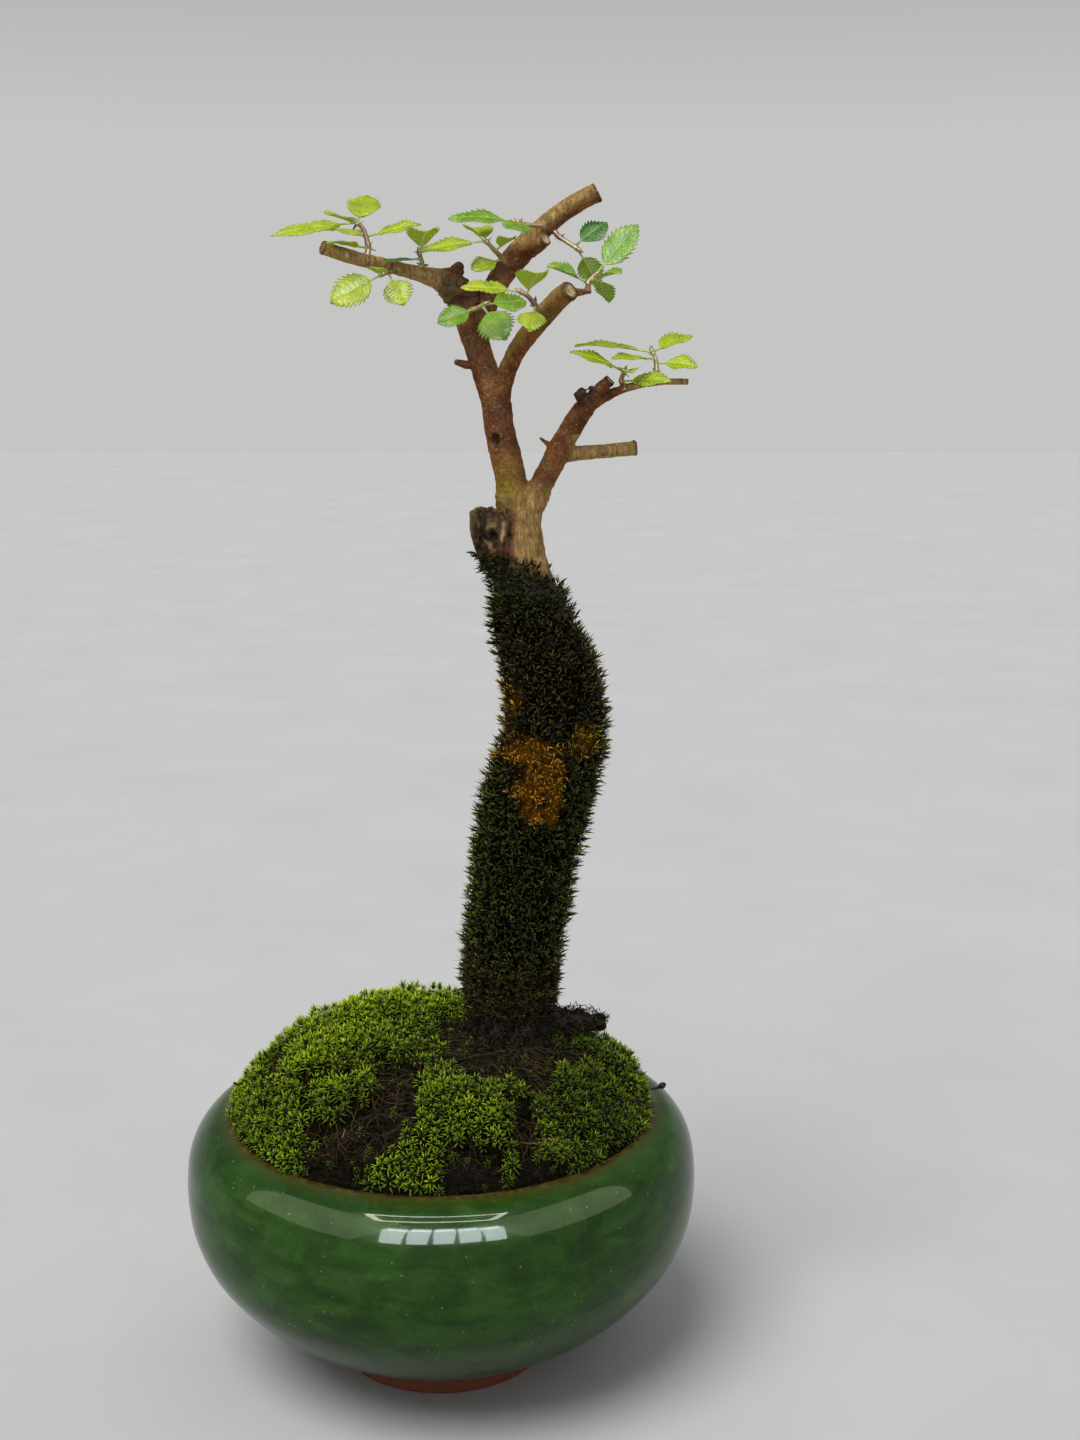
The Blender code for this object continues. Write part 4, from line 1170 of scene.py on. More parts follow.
def make_fibres(trees):
    """Fine rootlets and dead threads lying on the bare soil."""
    look = blade_look(
        "dead_fibres", srgb(186, 160, 112),
        (0.0, 44, 28, 16), (0.5, 84, 60, 34), (1.0, 124, 98, 60),
    )
    x, y = spread_over_dome(FIBRES_TRIED)
    chosen = (bareness(x, y) > 0.30) | (CHANCE.random(len(x)) < 0.04)
    parts = []
    shades = []
    for a, b in zip(x[chosen], y[chosen]):
        heading = CHANCE.uniform(0.0, 2.0 * math.pi)
        length = CHANCE.uniform(1.8, 5.5) * MM
        turn = CHANCE.uniform(-1.2, 1.2)
        shares = np.linspace(0.0, 1.0, 6)
        angles = heading + turn * shares
        px = a + length * shares * np.cos(angles)
        py = b + length * shares * np.sin(angles)
        hop = CHANCE.uniform(0.1, 0.7) * MM * np.sin(math.pi * shares)
        inside = np.hypot(px, py) < SOIL_RADIUS - 0.8 * MM
        if not inside.all():
            continue
        pz = mat_heights(trees, px, py, bareness(px, py)) + 0.45 * MM + hop
        parts.append(tube(np.stack([px, py, pz], axis=-1), 0.055 * MM * (1.2 - 0.6 * shares), 4))
        shades.append(CHANCE.uniform(0.05, 0.7) if CHANCE.random() < 0.995 else DRY_SHADE)
    threads_from("soil_fibres", parts, shades, look, "soil")


def make_straw_and_twigs():
    """Dry stems lying at the front right, two dark twigs over the rim and one on a branch."""
    stem_count = 14
    parts = []
    for _ in range(stem_count):
        around = math.radians(CHANCE.uniform(-62.0, -51.0))
        x, y = CHANCE.uniform(37.6, 38.8) * MM * np.array([math.cos(around), math.sin(around)])
        heading = around + math.pi / 2 + CHANCE.uniform(-0.16, 0.10)
        reach = np.linspace(-0.5, 0.5, 7) * CHANCE.uniform(2.5, 5.5) * MM
        px = x + reach * math.cos(heading)
        py = y + reach * math.sin(heading)
        pz = soil_height(px, py) + 1.7 * MM + CHANCE.uniform(0.0, 0.9) * MM + 4.0 * reach ** 2 / 0.05
        parts.append(tube(np.stack([px, py, pz], axis=-1), 0.065 * MM, 5))
    straw = blade_look(
        "straw", srgb(180, 168, 110),
        (0.0, 100, 88, 46), (0.5, 150, 138, 84), (1.0, 112, 100, 52),
    )
    threads_from("dry_stems", parts, CHANCE.uniform(0.3, 0.85, stem_count), straw, "moss")
    right_knob = np.array([0.28] * 10 + [0.40, 0.68, 0.62, 0.20])
    twig_lines = [
        ([(37.4, -3.0, 53.6), (40.0, -3.2, 55.2), (42.2, -3.0, 55.4), (44.0, -3.2, 56.4)], right_knob, 8),
        ([(-36.6, -2.0, 54.0), (-38.2, -2.2, 55.4), (-39.6, -2.0, 55.6), (-40.8, -2.2, 56.2)],
         np.full(12, 0.24), 7),
        ([(17.2, -1.5, 123.4), (19.2, -1.8, 123.8), (20.4, -1.6, 125.4), (21.0, -1.5, 127.2)],
         np.linspace(0.30, 0.10, 12), 7),
    ]
    twigs = []
    for line, radii, sides in twig_lines:
        twigs.append(tube(curved(np.array(line) * MM, len(radii)), radii * MM, sides))
    bark = blade_look(
        "dark_twig", srgb(60, 48, 34),
        (0.0, 24, 18, 12), (0.5, 50, 38, 26), (1.0, 36, 26, 18),
    )
    threads_from("loose_twigs", twigs, np.array([0.3, 0.5, 0.4]), bark, "bark")


CUSHION_TREES = cushion_trees()
make_cushion_mats()
make_ground_moss(CUSHION_TREES)
make_crumbs(CUSHION_TREES)
make_fibres(CUSHION_TREES)
make_straw_and_twigs()


# ------------------------------------------------------------------ wood

def tree_place(*millimetres):
    return TRUNK_FOOT + np.array(millimetres) * MM


def near(points, centre, reach):
    """1 close to a place given in millimetres from the trunk's foot, 0 beyond the reach."""
    away = np.linalg.norm(points - tree_place(*centre), axis=1) / (reach * MM)
    return 1.0 - ease(0.6, 1.0, away)


# Sawn ends: end, the point before it, and the wood's radius there, in millimetres.
SAWN_ENDS = [
    ((16.6, 6.0, 160.2), (13.3, 6.0, 158.6), 1.83),
    ((7.1, 1.0, 151.6), (5.1, 3.0, 150.1), 1.18),
    ((11.3, -11.5, 142.2), (9.9, -10.0, 141.4), 1.67),
    ((18.6, -7.0, 126.6), (16.8, -6.0, 124.8), 0.99),
    ((23.8, 1.0, 114.0), (18.0, 0.0, 113.5), 1.36),
    ((-32.8, -6.0, 149.8), (-30.6, -5.0, 149.0), 1.16),
]
# Marks on the bark, in millimetres from the trunk's foot.
WOUND = (-2.5, -5.2, 98.3)
KNOT = (-2.2, -2.6, 115.6)
NUBS = (13.2, -6.2, 124.2)
BURL = (-8.6, 3.0, 143.0)


def moss_top(points):
    """Height above the trunk's foot, in millimetres, where its moss ends: lower on the right."""
    x = (points[:, 0] - TRUNK_FOOT[0]) / MM
    top = 94.4 - 0.3 * np.maximum(x + 2.0, 0.0) - 0.9 * np.maximum(x - 6.0, 0.0)
    return top + 1.6 * wander(points, 2.6 * MM, 66)


def paint_wood(wood):
    """Masks for the bark's colours, and the scars, cracks and sawn ends cut into its shape."""
    mesh = wood.data
    points = points_of(mesh)
    normals = normals_of(mesh)
    rel = (points - TRUNK_FOOT) / MM
    x, y, z = rel.T
    fine = rough(points, 1.2 * MM, 1, 3)
    broad = wander(points, 5.0 * MM, 2)
    out = fine * 0.07 * MM + broad * 0.12 * MM
    cut = np.zeros(len(points))
    dark = np.zeros(len(points))

    # Sawn ends: a dished pale face in a dark ring of bark.
    for end, before, radius in SAWN_ENDS:
        end, before = tree_place(*end), tree_place(*before)
        way = unit(end - before)
        ahead = (points - end) @ way
        aside = np.linalg.norm(points - end - ahead[:, None] * way, axis=1) / (radius * MM)
        face = (np.abs(ahead) < 0.55 * MM) & (aside < 1.35)
        out[face] -= 0.30 * MM * ease(0.75, 0.45, aside[face])
        out[face] += 0.12 * MM * ease(0.7, 0.95, aside[face])
        cut = np.maximum(cut, face * (1.0 - ease(0.60, 0.78, aside)) * (ahead > -0.35 * MM))
        dark = np.maximum(dark, 0.5 * face * ease(0.62, 0.80, aside) * (1.0 - ease(0.95, 1.2, aside)))

    # The torn stub above the moss, with its hollow wound and pale slivers; the hollow's dark middle is
    # partly dark wood and partly painted shade.
    torn = rough(points, 1.6 * MM, 14, 3)
    on_wound = np.hypot((x - WOUND[0]) / 0.85, (z - WOUND[2]) / 1.15) * (1.0 + 0.35 * torn)
    front = ease(0.5, -1.5, y)
    stub = front * ease(-7.6, -5.0, x + 0.4 * torn) * (1.0 - ease(0.2, 1.6, x + 0.6 * torn))
    stub = stub * ease(89.0, 92.0, z) * (1.0 - ease(102.5, 104.5, z))
    out -= front * 1.1 * MM * (1.0 - ease(0.3, 1.1, on_wound))
    out += stub * 0.75 * MM * rough(points * [1.0, 1.0, 0.45], 1.3 * MM, 15, 3)
    pale = np.exp(-((on_wound - 1.75) / 0.42) ** 2) * ease(-0.25, 0.15, wander(points, 1.5 * MM, 16))
    sliver = np.exp(-((x + 0.9 + 0.2 * torn) / 0.35) ** 2)
    sliver = sliver * ease(96.5, 98.0, z) * (1.0 - ease(100.5, 101.5, z))
    pale = front * np.maximum(pale, sliver)
    cut = np.maximum(cut, 0.75 * pale)
    bark_cracks = ease(-0.45, 0.15, wander(points * [1.0, 1.0, 0.4], 0.8 * MM, 17))
    dark = np.maximum(dark, stub * (0.55 + 0.45 * bark_cracks) * (1.0 - pale))
    # Painted shade, with dark wood: the middle of the hollow is painted dark.
    dark = np.maximum(dark, front * (1.0 - ease(0.7, 1.1, on_wound)))
    stub_top = np.exp(-(((x + 3.2) / 4.2) ** 2 + ((z - 102.0) / 2.0) ** 2))
    out += stub_top * rough(points, 1.4 * MM, 21, 3) * 0.7 * MM
    tan = 0.45 * stub_top * (fine > 0.0)

    # Peeled and weathered wood: the strip beside the stub, the collar above it, the crown; on the crown
    # and the outer twigs the paler upward faces, and on the middle arm its lit side, are painted light.
    strip = ease(0.9, 2.0, x) * (1.0 - ease(105.0, 109.0, z)) * ease(90.0, 93.5, z)
    tan = np.maximum(tan, strip * (0.75 + 0.5 * fine))
    level = np.sin(z * 2.6 + 1.5 * broad + 0.6 * x)
    out += strip * level * 0.05 * MM
    collar = np.exp(-((z - 104.5 - 1.2 * broad) / 1.6) ** 2) * (np.abs(x) < 8.0) * (z > 90.0)
    out += collar * (0.35 + 0.9 * np.abs(fine)) * MM * 0.6
    tan = np.maximum(tan, 0.7 * collar)
    apex = ease(149.0, 152.0, z) * (x > 0.5)
    flats = ease(0.35, 0.75, normals[:, 2])
    outer_twigs = np.maximum(
        ease(10.5, 13.0, x) * (np.abs(z - 113.4) < 3.5),
        ease(-10.5, -13.0, x) * (z > 130.0),
    )
    outer_twigs = np.maximum(outer_twigs, ease(20.0, 24.0, x) * (z > 120.0))
    # Painted light: the crown's and outer twigs' upward faces are painted paler, and the middle arm paler
    # on its lit side.
    tan = np.maximum(tan, apex * ease(-0.6, 0.2, normals[:, 2]) * (0.85 + 0.3 * fine))
    tan = np.maximum(tan, outer_twigs * (0.86 + 0.14 * flats))
    middle_arm = (y < -4.0) & (z > 128.0) & (z < 145.0)
    lit_side = ease(-0.1, 0.6, 0.7 * normals[:, 2] - 0.5 * normals[:, 0])
    tan = np.maximum(tan, 0.55 * middle_arm * lit_side)

    # Algae, the knot, the nubs, the burl, painted shade on the bark under the moss, the flared foot and
    # lichen.
    green = np.exp(-(((x + 0.3) / 2.4) ** 2 + ((z - 108.0) / 4.2) ** 2)) * (0.8 + fine)
    green = np.maximum(green, 0.35 * middle_arm * ease(-0.2, 0.4, broad))
    knot = np.linalg.norm((rel - KNOT) * [1.0, 0.6, 0.62], axis=1)
    out -= 0.55 * MM * (1.0 - ease(0.35, 0.95, knot))
    out += 0.28 * MM * np.exp(-((knot - 1.25) / 0.35) ** 2)
    dark = np.maximum(dark, 0.9 * (1.0 - ease(0.5, 1.1, knot)))
    dark = np.maximum(dark, 0.65 * near(points, NUBS, 3.6))
    burl = near(points, BURL, 5.5)
    dark = np.maximum(dark, 0.6 * ease(0.2, 0.6, fine) * burl)
    out += burl * (0.35 + 0.8 * rough(points, 1.8 * MM, 31, 3)) * MM
    # Painted shade: the bark is darkened below the moss's top edge, where it shows between the tufts.
    shade_under_moss = 1.0 - ease(-1.6, -0.3, z - moss_top(points))
    dark = np.maximum(dark, shade_under_moss)
    foot = 1.0 - ease(6.0, 14.0, z)
    ridges = np.abs(wander(points * [1.0, 1.0, 0.4], 1.7 * MM, 45))
    out += foot * (0.9 * rough(points, 2.4 * MM, 46, 3) - 1.1 * ridges) * MM
    lichen = 0.9 * np.exp(-(((x + 6.6) / 1.5) ** 2 + ((z - 101.0) / 3.6) ** 2)) * (fine > -0.4)
    lichen = np.maximum(lichen, 0.6 * burl * ease(-0.1, 0.3, broad))
    lichen = np.maximum(lichen, 0.35 * (z > 60.0) * ease(0.30, 0.55, wander(points, 3.0 * MM, 41)))
    ring = np.sin(z * 1.9 + 2.0 * wander(points, 9.0 * MM, 51))
    out += 0.05 * MM * ease(0.55, 1.0, ring) * (z > 105.0)
    move_points(mesh, points + normals * out[:, None])
    masks = {"cut": cut, "dark": dark, "tan": tan, "green": green, "lichen": lichen}
    for name, values in masks.items():
        paint(mesh, name, np.clip(values, 0.0, 1.0))


def make_wood():
    wood = remeshed("bark_and_wood", "trunk_and_branches", voxel=0.30 * MM, smoothing=3)
    paint_wood(wood)
    return finished(wood, bark_look(), "bark", "trunk_and_branches")


WOOD = make_wood()


# ------------------------------------------------------------------ moss on the trunk

# Heights above the trunk's foot, in millimetres: the end of the thick moss sleeve, and the band
# where thin moss grows straight on the bark.
SLEEVE_END = 90.0
THIN_MOSS_FROM = 82.0
THIN_MOSS_TO = 100.0
SLEEVE_TUFTS_TRIED = 15000
THIN_TUFTS_TRIED = 5200


def bark_tree():
    """The wood's CAD shape, to be asked for the nearest place on it."""
    bm = welded_copy("trunk_and_branches")
    tree = BVHTree.FromBMesh(bm)
    bm.free()
    return tree


def ochre_share(points):
    """How far the dead orange moss replaces the living moss at each place on the trunk."""
    x, y, z = ((points - TRUNK_FOOT) / MM).T
    front = ease(6.0, 1.0, y)
    x = x + 2.2 * wander(points, 4.5 * MM, 62) + 0.9 * wander(points, 1.5 * MM, 64)
    z = z + 2.4 * wander(points, 4.0 * MM, 63) + 1.0 * wander(points, 1.5 * MM, 65)
    band = np.exp(-(((x - 4.0) / 6.5) ** 2 + ((z - 58.8) / 2.8) ** 2))
    away = np.hypot(x - 6.8, (z - 49.8) / 1.25)
    ring = np.exp(-((away - 3.2) / 2.0) ** 2)
    link = 0.7 * np.exp(-(((x - 7.0) / 4.5) ** 2 + ((z - 55.0) / 3.0) ** 2))
    left = 0.62 * np.exp(-(((x - 0.2) / 2.2) ** 2 + ((z - 67.0) / 7.0) ** 2))
    right = 0.70 * np.exp(-(((x - 14.5) / 5.0) ** 2 + ((z - 60.0) / 3.5) ** 2))
    share = np.maximum.reduce([band, ring, link, left, right])
    speckled = ease(0.12, 0.85, share) + 0.45 * share * wander(points, 1.1 * MM, 61)
    return np.clip(speckled, 0.0, 0.95) * front


def sleeve_share(points):
    """1 where the trunk's moss is thick, falling to 0 at its top edge."""
    return 1.0 - ease(-6.0, 0.0, rise_above_foot(points) - np.minimum(moss_top(points), SLEEVE_END))


def nearest_wood(tree, places):
    """The nearest place on the bare wood to each place."""
    return np.array([tree.find_nearest(Vector(place))[0] for place in places])


def trunk_mat_look():
    look = Look("trunk_moss_mat")
    grain = look.noise(0.7 * MM, 5.0, 0.7)
    # The living mat's near-black is partly painted shade among the tufts.
    living = look.ramp(grain, (0.35, 5, 4, 1), (0.70, 24, 20, 6))
    dead = look.ramp(grain, (0.35, 44, 25, 4), (0.70, 126, 80, 16))
    colour = look.mix(look.painted("ochre"), living, dead)
    look.set(Base_Color=colour, Roughness=1.0, Specular_IOR_Level=0.0)
    look.bump(grain, 0.5 * MM, 1.0)
    return look.material


def make_trunk_mat(tree):
    """The matted growth under the trunk's tufts, near black partly as painted shade among them; beyond
    its top edge it hides under the bark.
    """
    mat = remeshed("trunk_moss_mat", "trunk_moss", voxel=0.6 * MM, smoothing=1)
    points = points_of(mat.data)
    lumps = wander(points, 2.4 * MM, 71)
    thick = sleeve_share(points)[:, None]
    at_wood = nearest_wood(tree, points)
    under_bark = at_wood - unit(points - at_wood) * 1.2 * MM
    sunk = points - normals_of(mat.data) * ((0.95 - 0.25 * lumps) * MM)[:, None]
    move_points(mat.data, sunk * thick + under_bark * (1.0 - thick))
    rotted = 0.16 * ease(20.0, 8.0, rise_above_foot(points))
    paint(mat.data, "ochre", np.maximum(ochre_share(points), rotted))
    finished(mat, trunk_mat_look(), "trunk_moss", "trunk_moss")


def tuft_places(tree):
    """Feet of the trunk's tufts, their outward ways, and how thick the moss is under each."""
    def outside(centres, face_normals):
        return np.sum((centres - nearest_wood(tree, centres)) * face_normals, axis=1) > 0.5 * MM

    def above_sleeve(centres, _):
        height = rise_above_foot(centres)
        return (height > THIN_MOSS_FROM) & (height < THIN_MOSS_TO)

    bm = welded_copy("trunk_moss")
    guide = bpy.data.meshes.new("moss_guide")
    bm.to_mesh(guide)
    bm.free()
    places, ways = surface_samples(guide, SLEEVE_TUFTS_TRIED, outside)
    bpy.data.meshes.remove(guide)
    kept = thinned(places, 0.95 * MM)
    places, ways = places[kept], ways[kept]
    growing = rise_above_foot(places) < np.minimum(moss_top(places), SLEEVE_END - 2.0)
    places, ways = places[growing], ways[growing]
    thick = sleeve_share(places)
    high_places, high_ways = surface_samples(WOOD.data, THIN_TUFTS_TRIED, above_sleeve)
    growing = rise_above_foot(high_places) < moss_top(high_places)
    high_places, high_ways = high_places[growing], high_ways[growing]
    high_kept = thinned(high_places, 0.78 * MM)
    places = np.concatenate([places, high_places[high_kept]])
    ways = np.concatenate([ways, high_ways[high_kept]])
    thick = np.concatenate([thick, np.zeros(len(high_kept))])
    feet = (places - ways * 1.25 * MM) * thick[:, None]
    feet += nearest_wood(tree, places) * (1.0 - thick[:, None])
    feet[-len(high_kept):] = high_places[high_kept]
    return places, feet, ways, thick


def make_trunk_tufts(tree):
    """Living, browned, yellowing and ochre tufts all over the trunk's moss."""
    places, feet, ways, thick = tuft_places(tree)
    ochre = ochre_share(places)
    z = rise_above_foot(places)
    rotted = ease(20.0, 8.0, z)
    rise = np.where(z > 60.0, 0.55, 0.45)[:, None] * np.array([0.0, 0.0, 1.0])
    ups = ways + rise + CHANCE.normal(0.0, 0.25, ways.shape)
    sizes = CHANCE.uniform(0.65, 1.5, len(places)) * (1.0 - 0.25 * ochre) * (0.85 + 0.15 * thick)
    kinds = [star([
        (0.0, 2, 30, 0.9),
        (0.35 * MM, 3, 50, 1.0),
        (0.70 * MM, 2, 74, 1.0),
    ], 0.30 * MM, 1.55 * MM) for _ in range(9)]
    patches = wander(places, 6.0 * MM, 81)
    fine = wander(places, 1.6 * MM, 82)
    # Painted light: tufts facing left or right, along the trunk's outline seen from the front, are
    # painted brighter, as if lit through.
    shades = 0.42 + 0.22 * patches + 0.26 * fine + 0.36 * ease(0.55, 1.0, np.abs(ways[:, 0]))
    shades = shades - 0.22 * ease(58.0, 66.0, z) + 0.10 * ease(44.0, 36.0, z)
    shades = np.clip(shades + CHANCE.normal(0.0, 0.13, len(places)), 0.03, 0.93)
    # The blades darken towards their feet: partly the moss's older growth, partly painted shade deep
    # among the tufts.
    living = blade_look(
        "dark_trunk_moss", srgb(160, 142, 84),
        (0.0, 5, 5, 1), (0.40, 25, 27, 3), (0.75, 66, 72, 9), (1.0, 132, 136, 34),
    )
    dead = blade_look(
        "ochre_moss", srgb(240, 226, 170),
        (0.0, 58, 31, 3), (0.40, 148, 92, 8), (0.75, 220, 158, 28), (1.0, 246, 210, 96),
    )
    pale = CHANCE.random(len(places)) < 0.010
    shades[pale] = DRY_SHADE
    sizes[pale] *= 0.55
    is_dead = CHANCE.random(len(places)) < ochre
    dead_shades = 0.62 + 0.3 * fine[is_dead] + CHANCE.normal(0.0, 0.12, is_dead.sum())
    shades[is_dead] = np.clip(dead_shades, 0.1, 0.93)
    to_the_right = ease(7.0, 12.0, (places[:, 0] - TRUNK_FOOT[0]) / MM)
    fading = is_dead & (CHANCE.random(len(places)) < to_the_right)
    yellow = blade_look(
        "yellowing_moss", srgb(220, 206, 140),
        (0.0, 36, 30, 3), (0.40, 112, 98, 8), (0.75, 178, 158, 24), (1.0, 218, 204, 80),
    )
    brown = blade_look(
        "brown_trunk_moss", srgb(160, 142, 84),
        (0.0, 6, 4, 1), (0.40, 29, 23, 4), (0.75, 74, 62, 12), (1.0, 138, 122, 42),
    )
    is_brown = ~is_dead & (z + 5.0 * wander(places, 5.0 * MM, 83) > 52.0) & (z + 4.0 * fine < 84.0)
    is_brown |= ~is_dead & (CHANCE.random(len(places)) < rotted)
    left_out = is_brown & (CHANCE.random(len(places)) < 0.25 * rotted)
    lower = z < 38.0
    for name, chosen, look in (
        ("trunk_moss_low", ~is_dead & ~is_brown & lower, living),
        ("trunk_moss_high", ~is_dead & ~is_brown & ~lower, living),
        ("trunk_moss_brown", is_brown & ~left_out, brown),
        ("ochre_moss", is_dead & ~fading, dead),
        ("yellowing_moss", fading, yellow),
    ):
        scatter(
            name, kinds, feet[chosen], ups[chosen], sizes[chosen], shades[chosen], look, "trunk_moss"
        )


BARK_TREE = bark_tree()
make_trunk_mat(BARK_TREE)
make_trunk_tufts(BARK_TREE)


def make_root_fibres():
    """Fine dark rootlets, crumbs and stunted moss that cling to the trunk's foot and its root."""
    def foot_only(centres, _):
        height = rise_above_foot(centres)
        return (height < 16.0) & (height > -4.0)

    places, ways = surface_samples(NODES["trunk_and_branches"].data, 1500, foot_only)
    sleeve_places, sleeve_ways = surface_samples(NODES["trunk_moss"].data, 1100, foot_only)
    places = np.concatenate([places, sleeve_places - sleeve_ways * 0.7 * MM])
    ways = np.concatenate([ways, sleeve_ways])
    mixed = CHANCE.permutation(len(places))
    fibres, crumbs, tufts = np.split(mixed, [1100, 1900])
    parts = []
    shades = []
    for place, way in zip(places[fibres], ways[fibres]):
        across = unit(np.cross(way, CHANCE.normal(0.0, 1.0, 3)) + np.array([0.0, 0.0, -0.5]))
        length = CHANCE.uniform(1.5, 5.0) * MM
        shares = np.linspace(0.0, 1.0, 6)
        hop = 0.35 * MM + CHANCE.uniform(0.1, 0.6) * MM * np.sin(math.pi * shares)
        line = place + np.outer(length * (shares - 0.5), across) + np.outer(hop, way)
        line += CHANCE.normal(0.0, 0.12 * MM, line.shape)
        parts.append(tube(line, 0.06 * MM * (1.3 - 0.7 * shares), 4))
        shades.append(CHANCE.uniform(0.05, 0.85))
    threads = blade_look(
        "root_threads", srgb(150, 120, 80),
        (0.0, 26, 14, 8), (0.5, 62, 36, 20), (1.0, 100, 66, 38),
    )
    threads_from("root_fibres", parts, shades, threads, "bark")
    ups = CHANCE.normal(0.0, 1.0, (len(crumbs), 3))
    scatter(
        "root_crumbs", crumb_kinds(), places[crumbs] + ways[crumbs] * 0.15 * MM, ups,
        CHANCE.uniform(0.4, 1.3, len(crumbs)), np.full(len(crumbs), 0.5), SOIL_LOOK, "soil",
    )
    whorls = [(0.2 * MM, 3, 30, 1.0), (0.6 * MM, 3, 60, 0.9)]
    kinds = [star(whorls, 0.28 * MM, 1.1 * MM) for _ in range(5)]
    scatter(
        "root_moss", kinds, places[tufts], ways[tufts] + np.array([0.0, 0.0, 0.5]),
        CHANCE.uniform(0.6, 1.2, len(tufts)), CHANCE.uniform(0.03, 0.6, len(tufts)),
        bpy.data.materials["dark_trunk_moss"], "trunk_moss",
    )


make_root_fibres()


# ------------------------------------------------------------------ shoots and leaves

def shoot_centres(node):
    """Centres of a CAD shoot's rings, from one end to the other."""
    bm = welded_copy(node)
    bmesh.ops.dissolve_limit(bm, angle_limit=math.radians(1.0), verts=bm.verts, edges=bm.edges)
    cap = next(face for face in bm.faces if len(face.verts) >= 8)
    layer = list(cap.verts)
    seen = set(layer)
    centres = []
    while layer:
        centres.append(np.array([v.co for v in layer]).mean(axis=0))
        following = []
        for v in layer:
            for edge in v.link_edges:
                other = edge.other_vert(v)
                if other not in seen:
                    seen.add(other)
                    following.append(other)
        layer = following
    bm.free()
    return np.array(centres)


SHOOTS = sorted(name for name in NODES if name.endswith("_shoot"))


def leaf_rows(node, shoot):
    """Rows of six points across a CAD leaf, the end nearest its shoot first."""
    bm = welded_copy(node)
    points = np.array([v.co for v in bm.verts])
    bm.free()
    centred = points - points.mean(axis=0)
    way = np.linalg.svd(centred, full_matrices=False)[2][0]
    order = np.argsort(centred @ way)
    rows = [points[order[k:k + 6]] for k in range(0, len(order) - 5, 6)]
    gaps = [np.linalg.norm(shoot - row.mean(axis=0), axis=1).min() for row in (rows[0], rows[-1])]
    if gaps[0] > gaps[1]:
        rows.reverse()
    return rows


def row_points(rows):
    """Left, middle and right of each row of six points, all turned the same way."""
    broad = max(rows, key=lambda row: np.linalg.norm(row[:, None] - row[None], axis=-1).max())
    apart = np.linalg.norm(broad[:, None] - broad[None], axis=-1)
    a, b = np.unravel_index(np.argmax(apart), apart.shape)
    across = unit(broad[b] - broad[a])
    lefts, middles, rights = [], [], []
    for row in rows:
        order = np.argsort(row @ across)
        lefts.append(row[order[:2]].mean(axis=0))
        middles.append(row[order[2:4]].mean(axis=0))
        rights.append(row[order[4:]].mean(axis=0))
    return np.array(lefts), np.array(middles), np.array(rights)


BLADE_FROM = 0.14


def smooth_between(shares, rows, at):
    """Smooth values between rows, at each share."""
    columns = []
    for k in range(rows.shape[1]):
        slopes = np.gradient(rows[:, k], shares)
        index = np.clip(np.searchsorted(shares, at) - 1, 0, len(shares) - 2)
        gap = shares[index + 1] - shares[index]
        t = (at - shares[index]) / gap
        low, high = rows[index, k], rows[index + 1, k]
        columns.append(
            (2 * t ** 3 - 3 * t ** 2 + 1) * low + (t ** 3 - 2 * t ** 2 + t) * gap * slopes[index]
            + (3 * t ** 2 - 2 * t ** 3) * high + (t ** 3 - t ** 2) * gap * slopes[index + 1]
        )
    return np.stack(columns, axis=-1)


def closed_sheet(top, bottom):
    """Two grids of points, one over the other, joined round their edge: points and quads."""
    count, columns = top.shape[:2]
    row, column = np.meshgrid(np.arange(count - 1), np.arange(columns - 1), indexing="ij")
    a = (row * columns + column).ravel()
    quads_top = np.stack([a, a + 1, a + columns + 1, a + columns], axis=-1)
    quads_bottom = quads_top[:, ::-1] + count * columns
    border = np.concatenate([
        np.arange(columns),
        np.arange(1, count) * columns + columns - 1,
        (count - 1) * columns + np.arange(columns - 2, -1, -1),
        np.arange(count - 2, 0, -1) * columns,
    ])
    onward = np.roll(border, -1)
    rim = np.stack([border, border + count * columns, onward + count * columns, onward], axis=-1)
    points = np.concatenate([top.reshape(-1, 3), bottom.reshape(-1, 3)])
    return points, np.concatenate([quads_top, quads_bottom, rim])


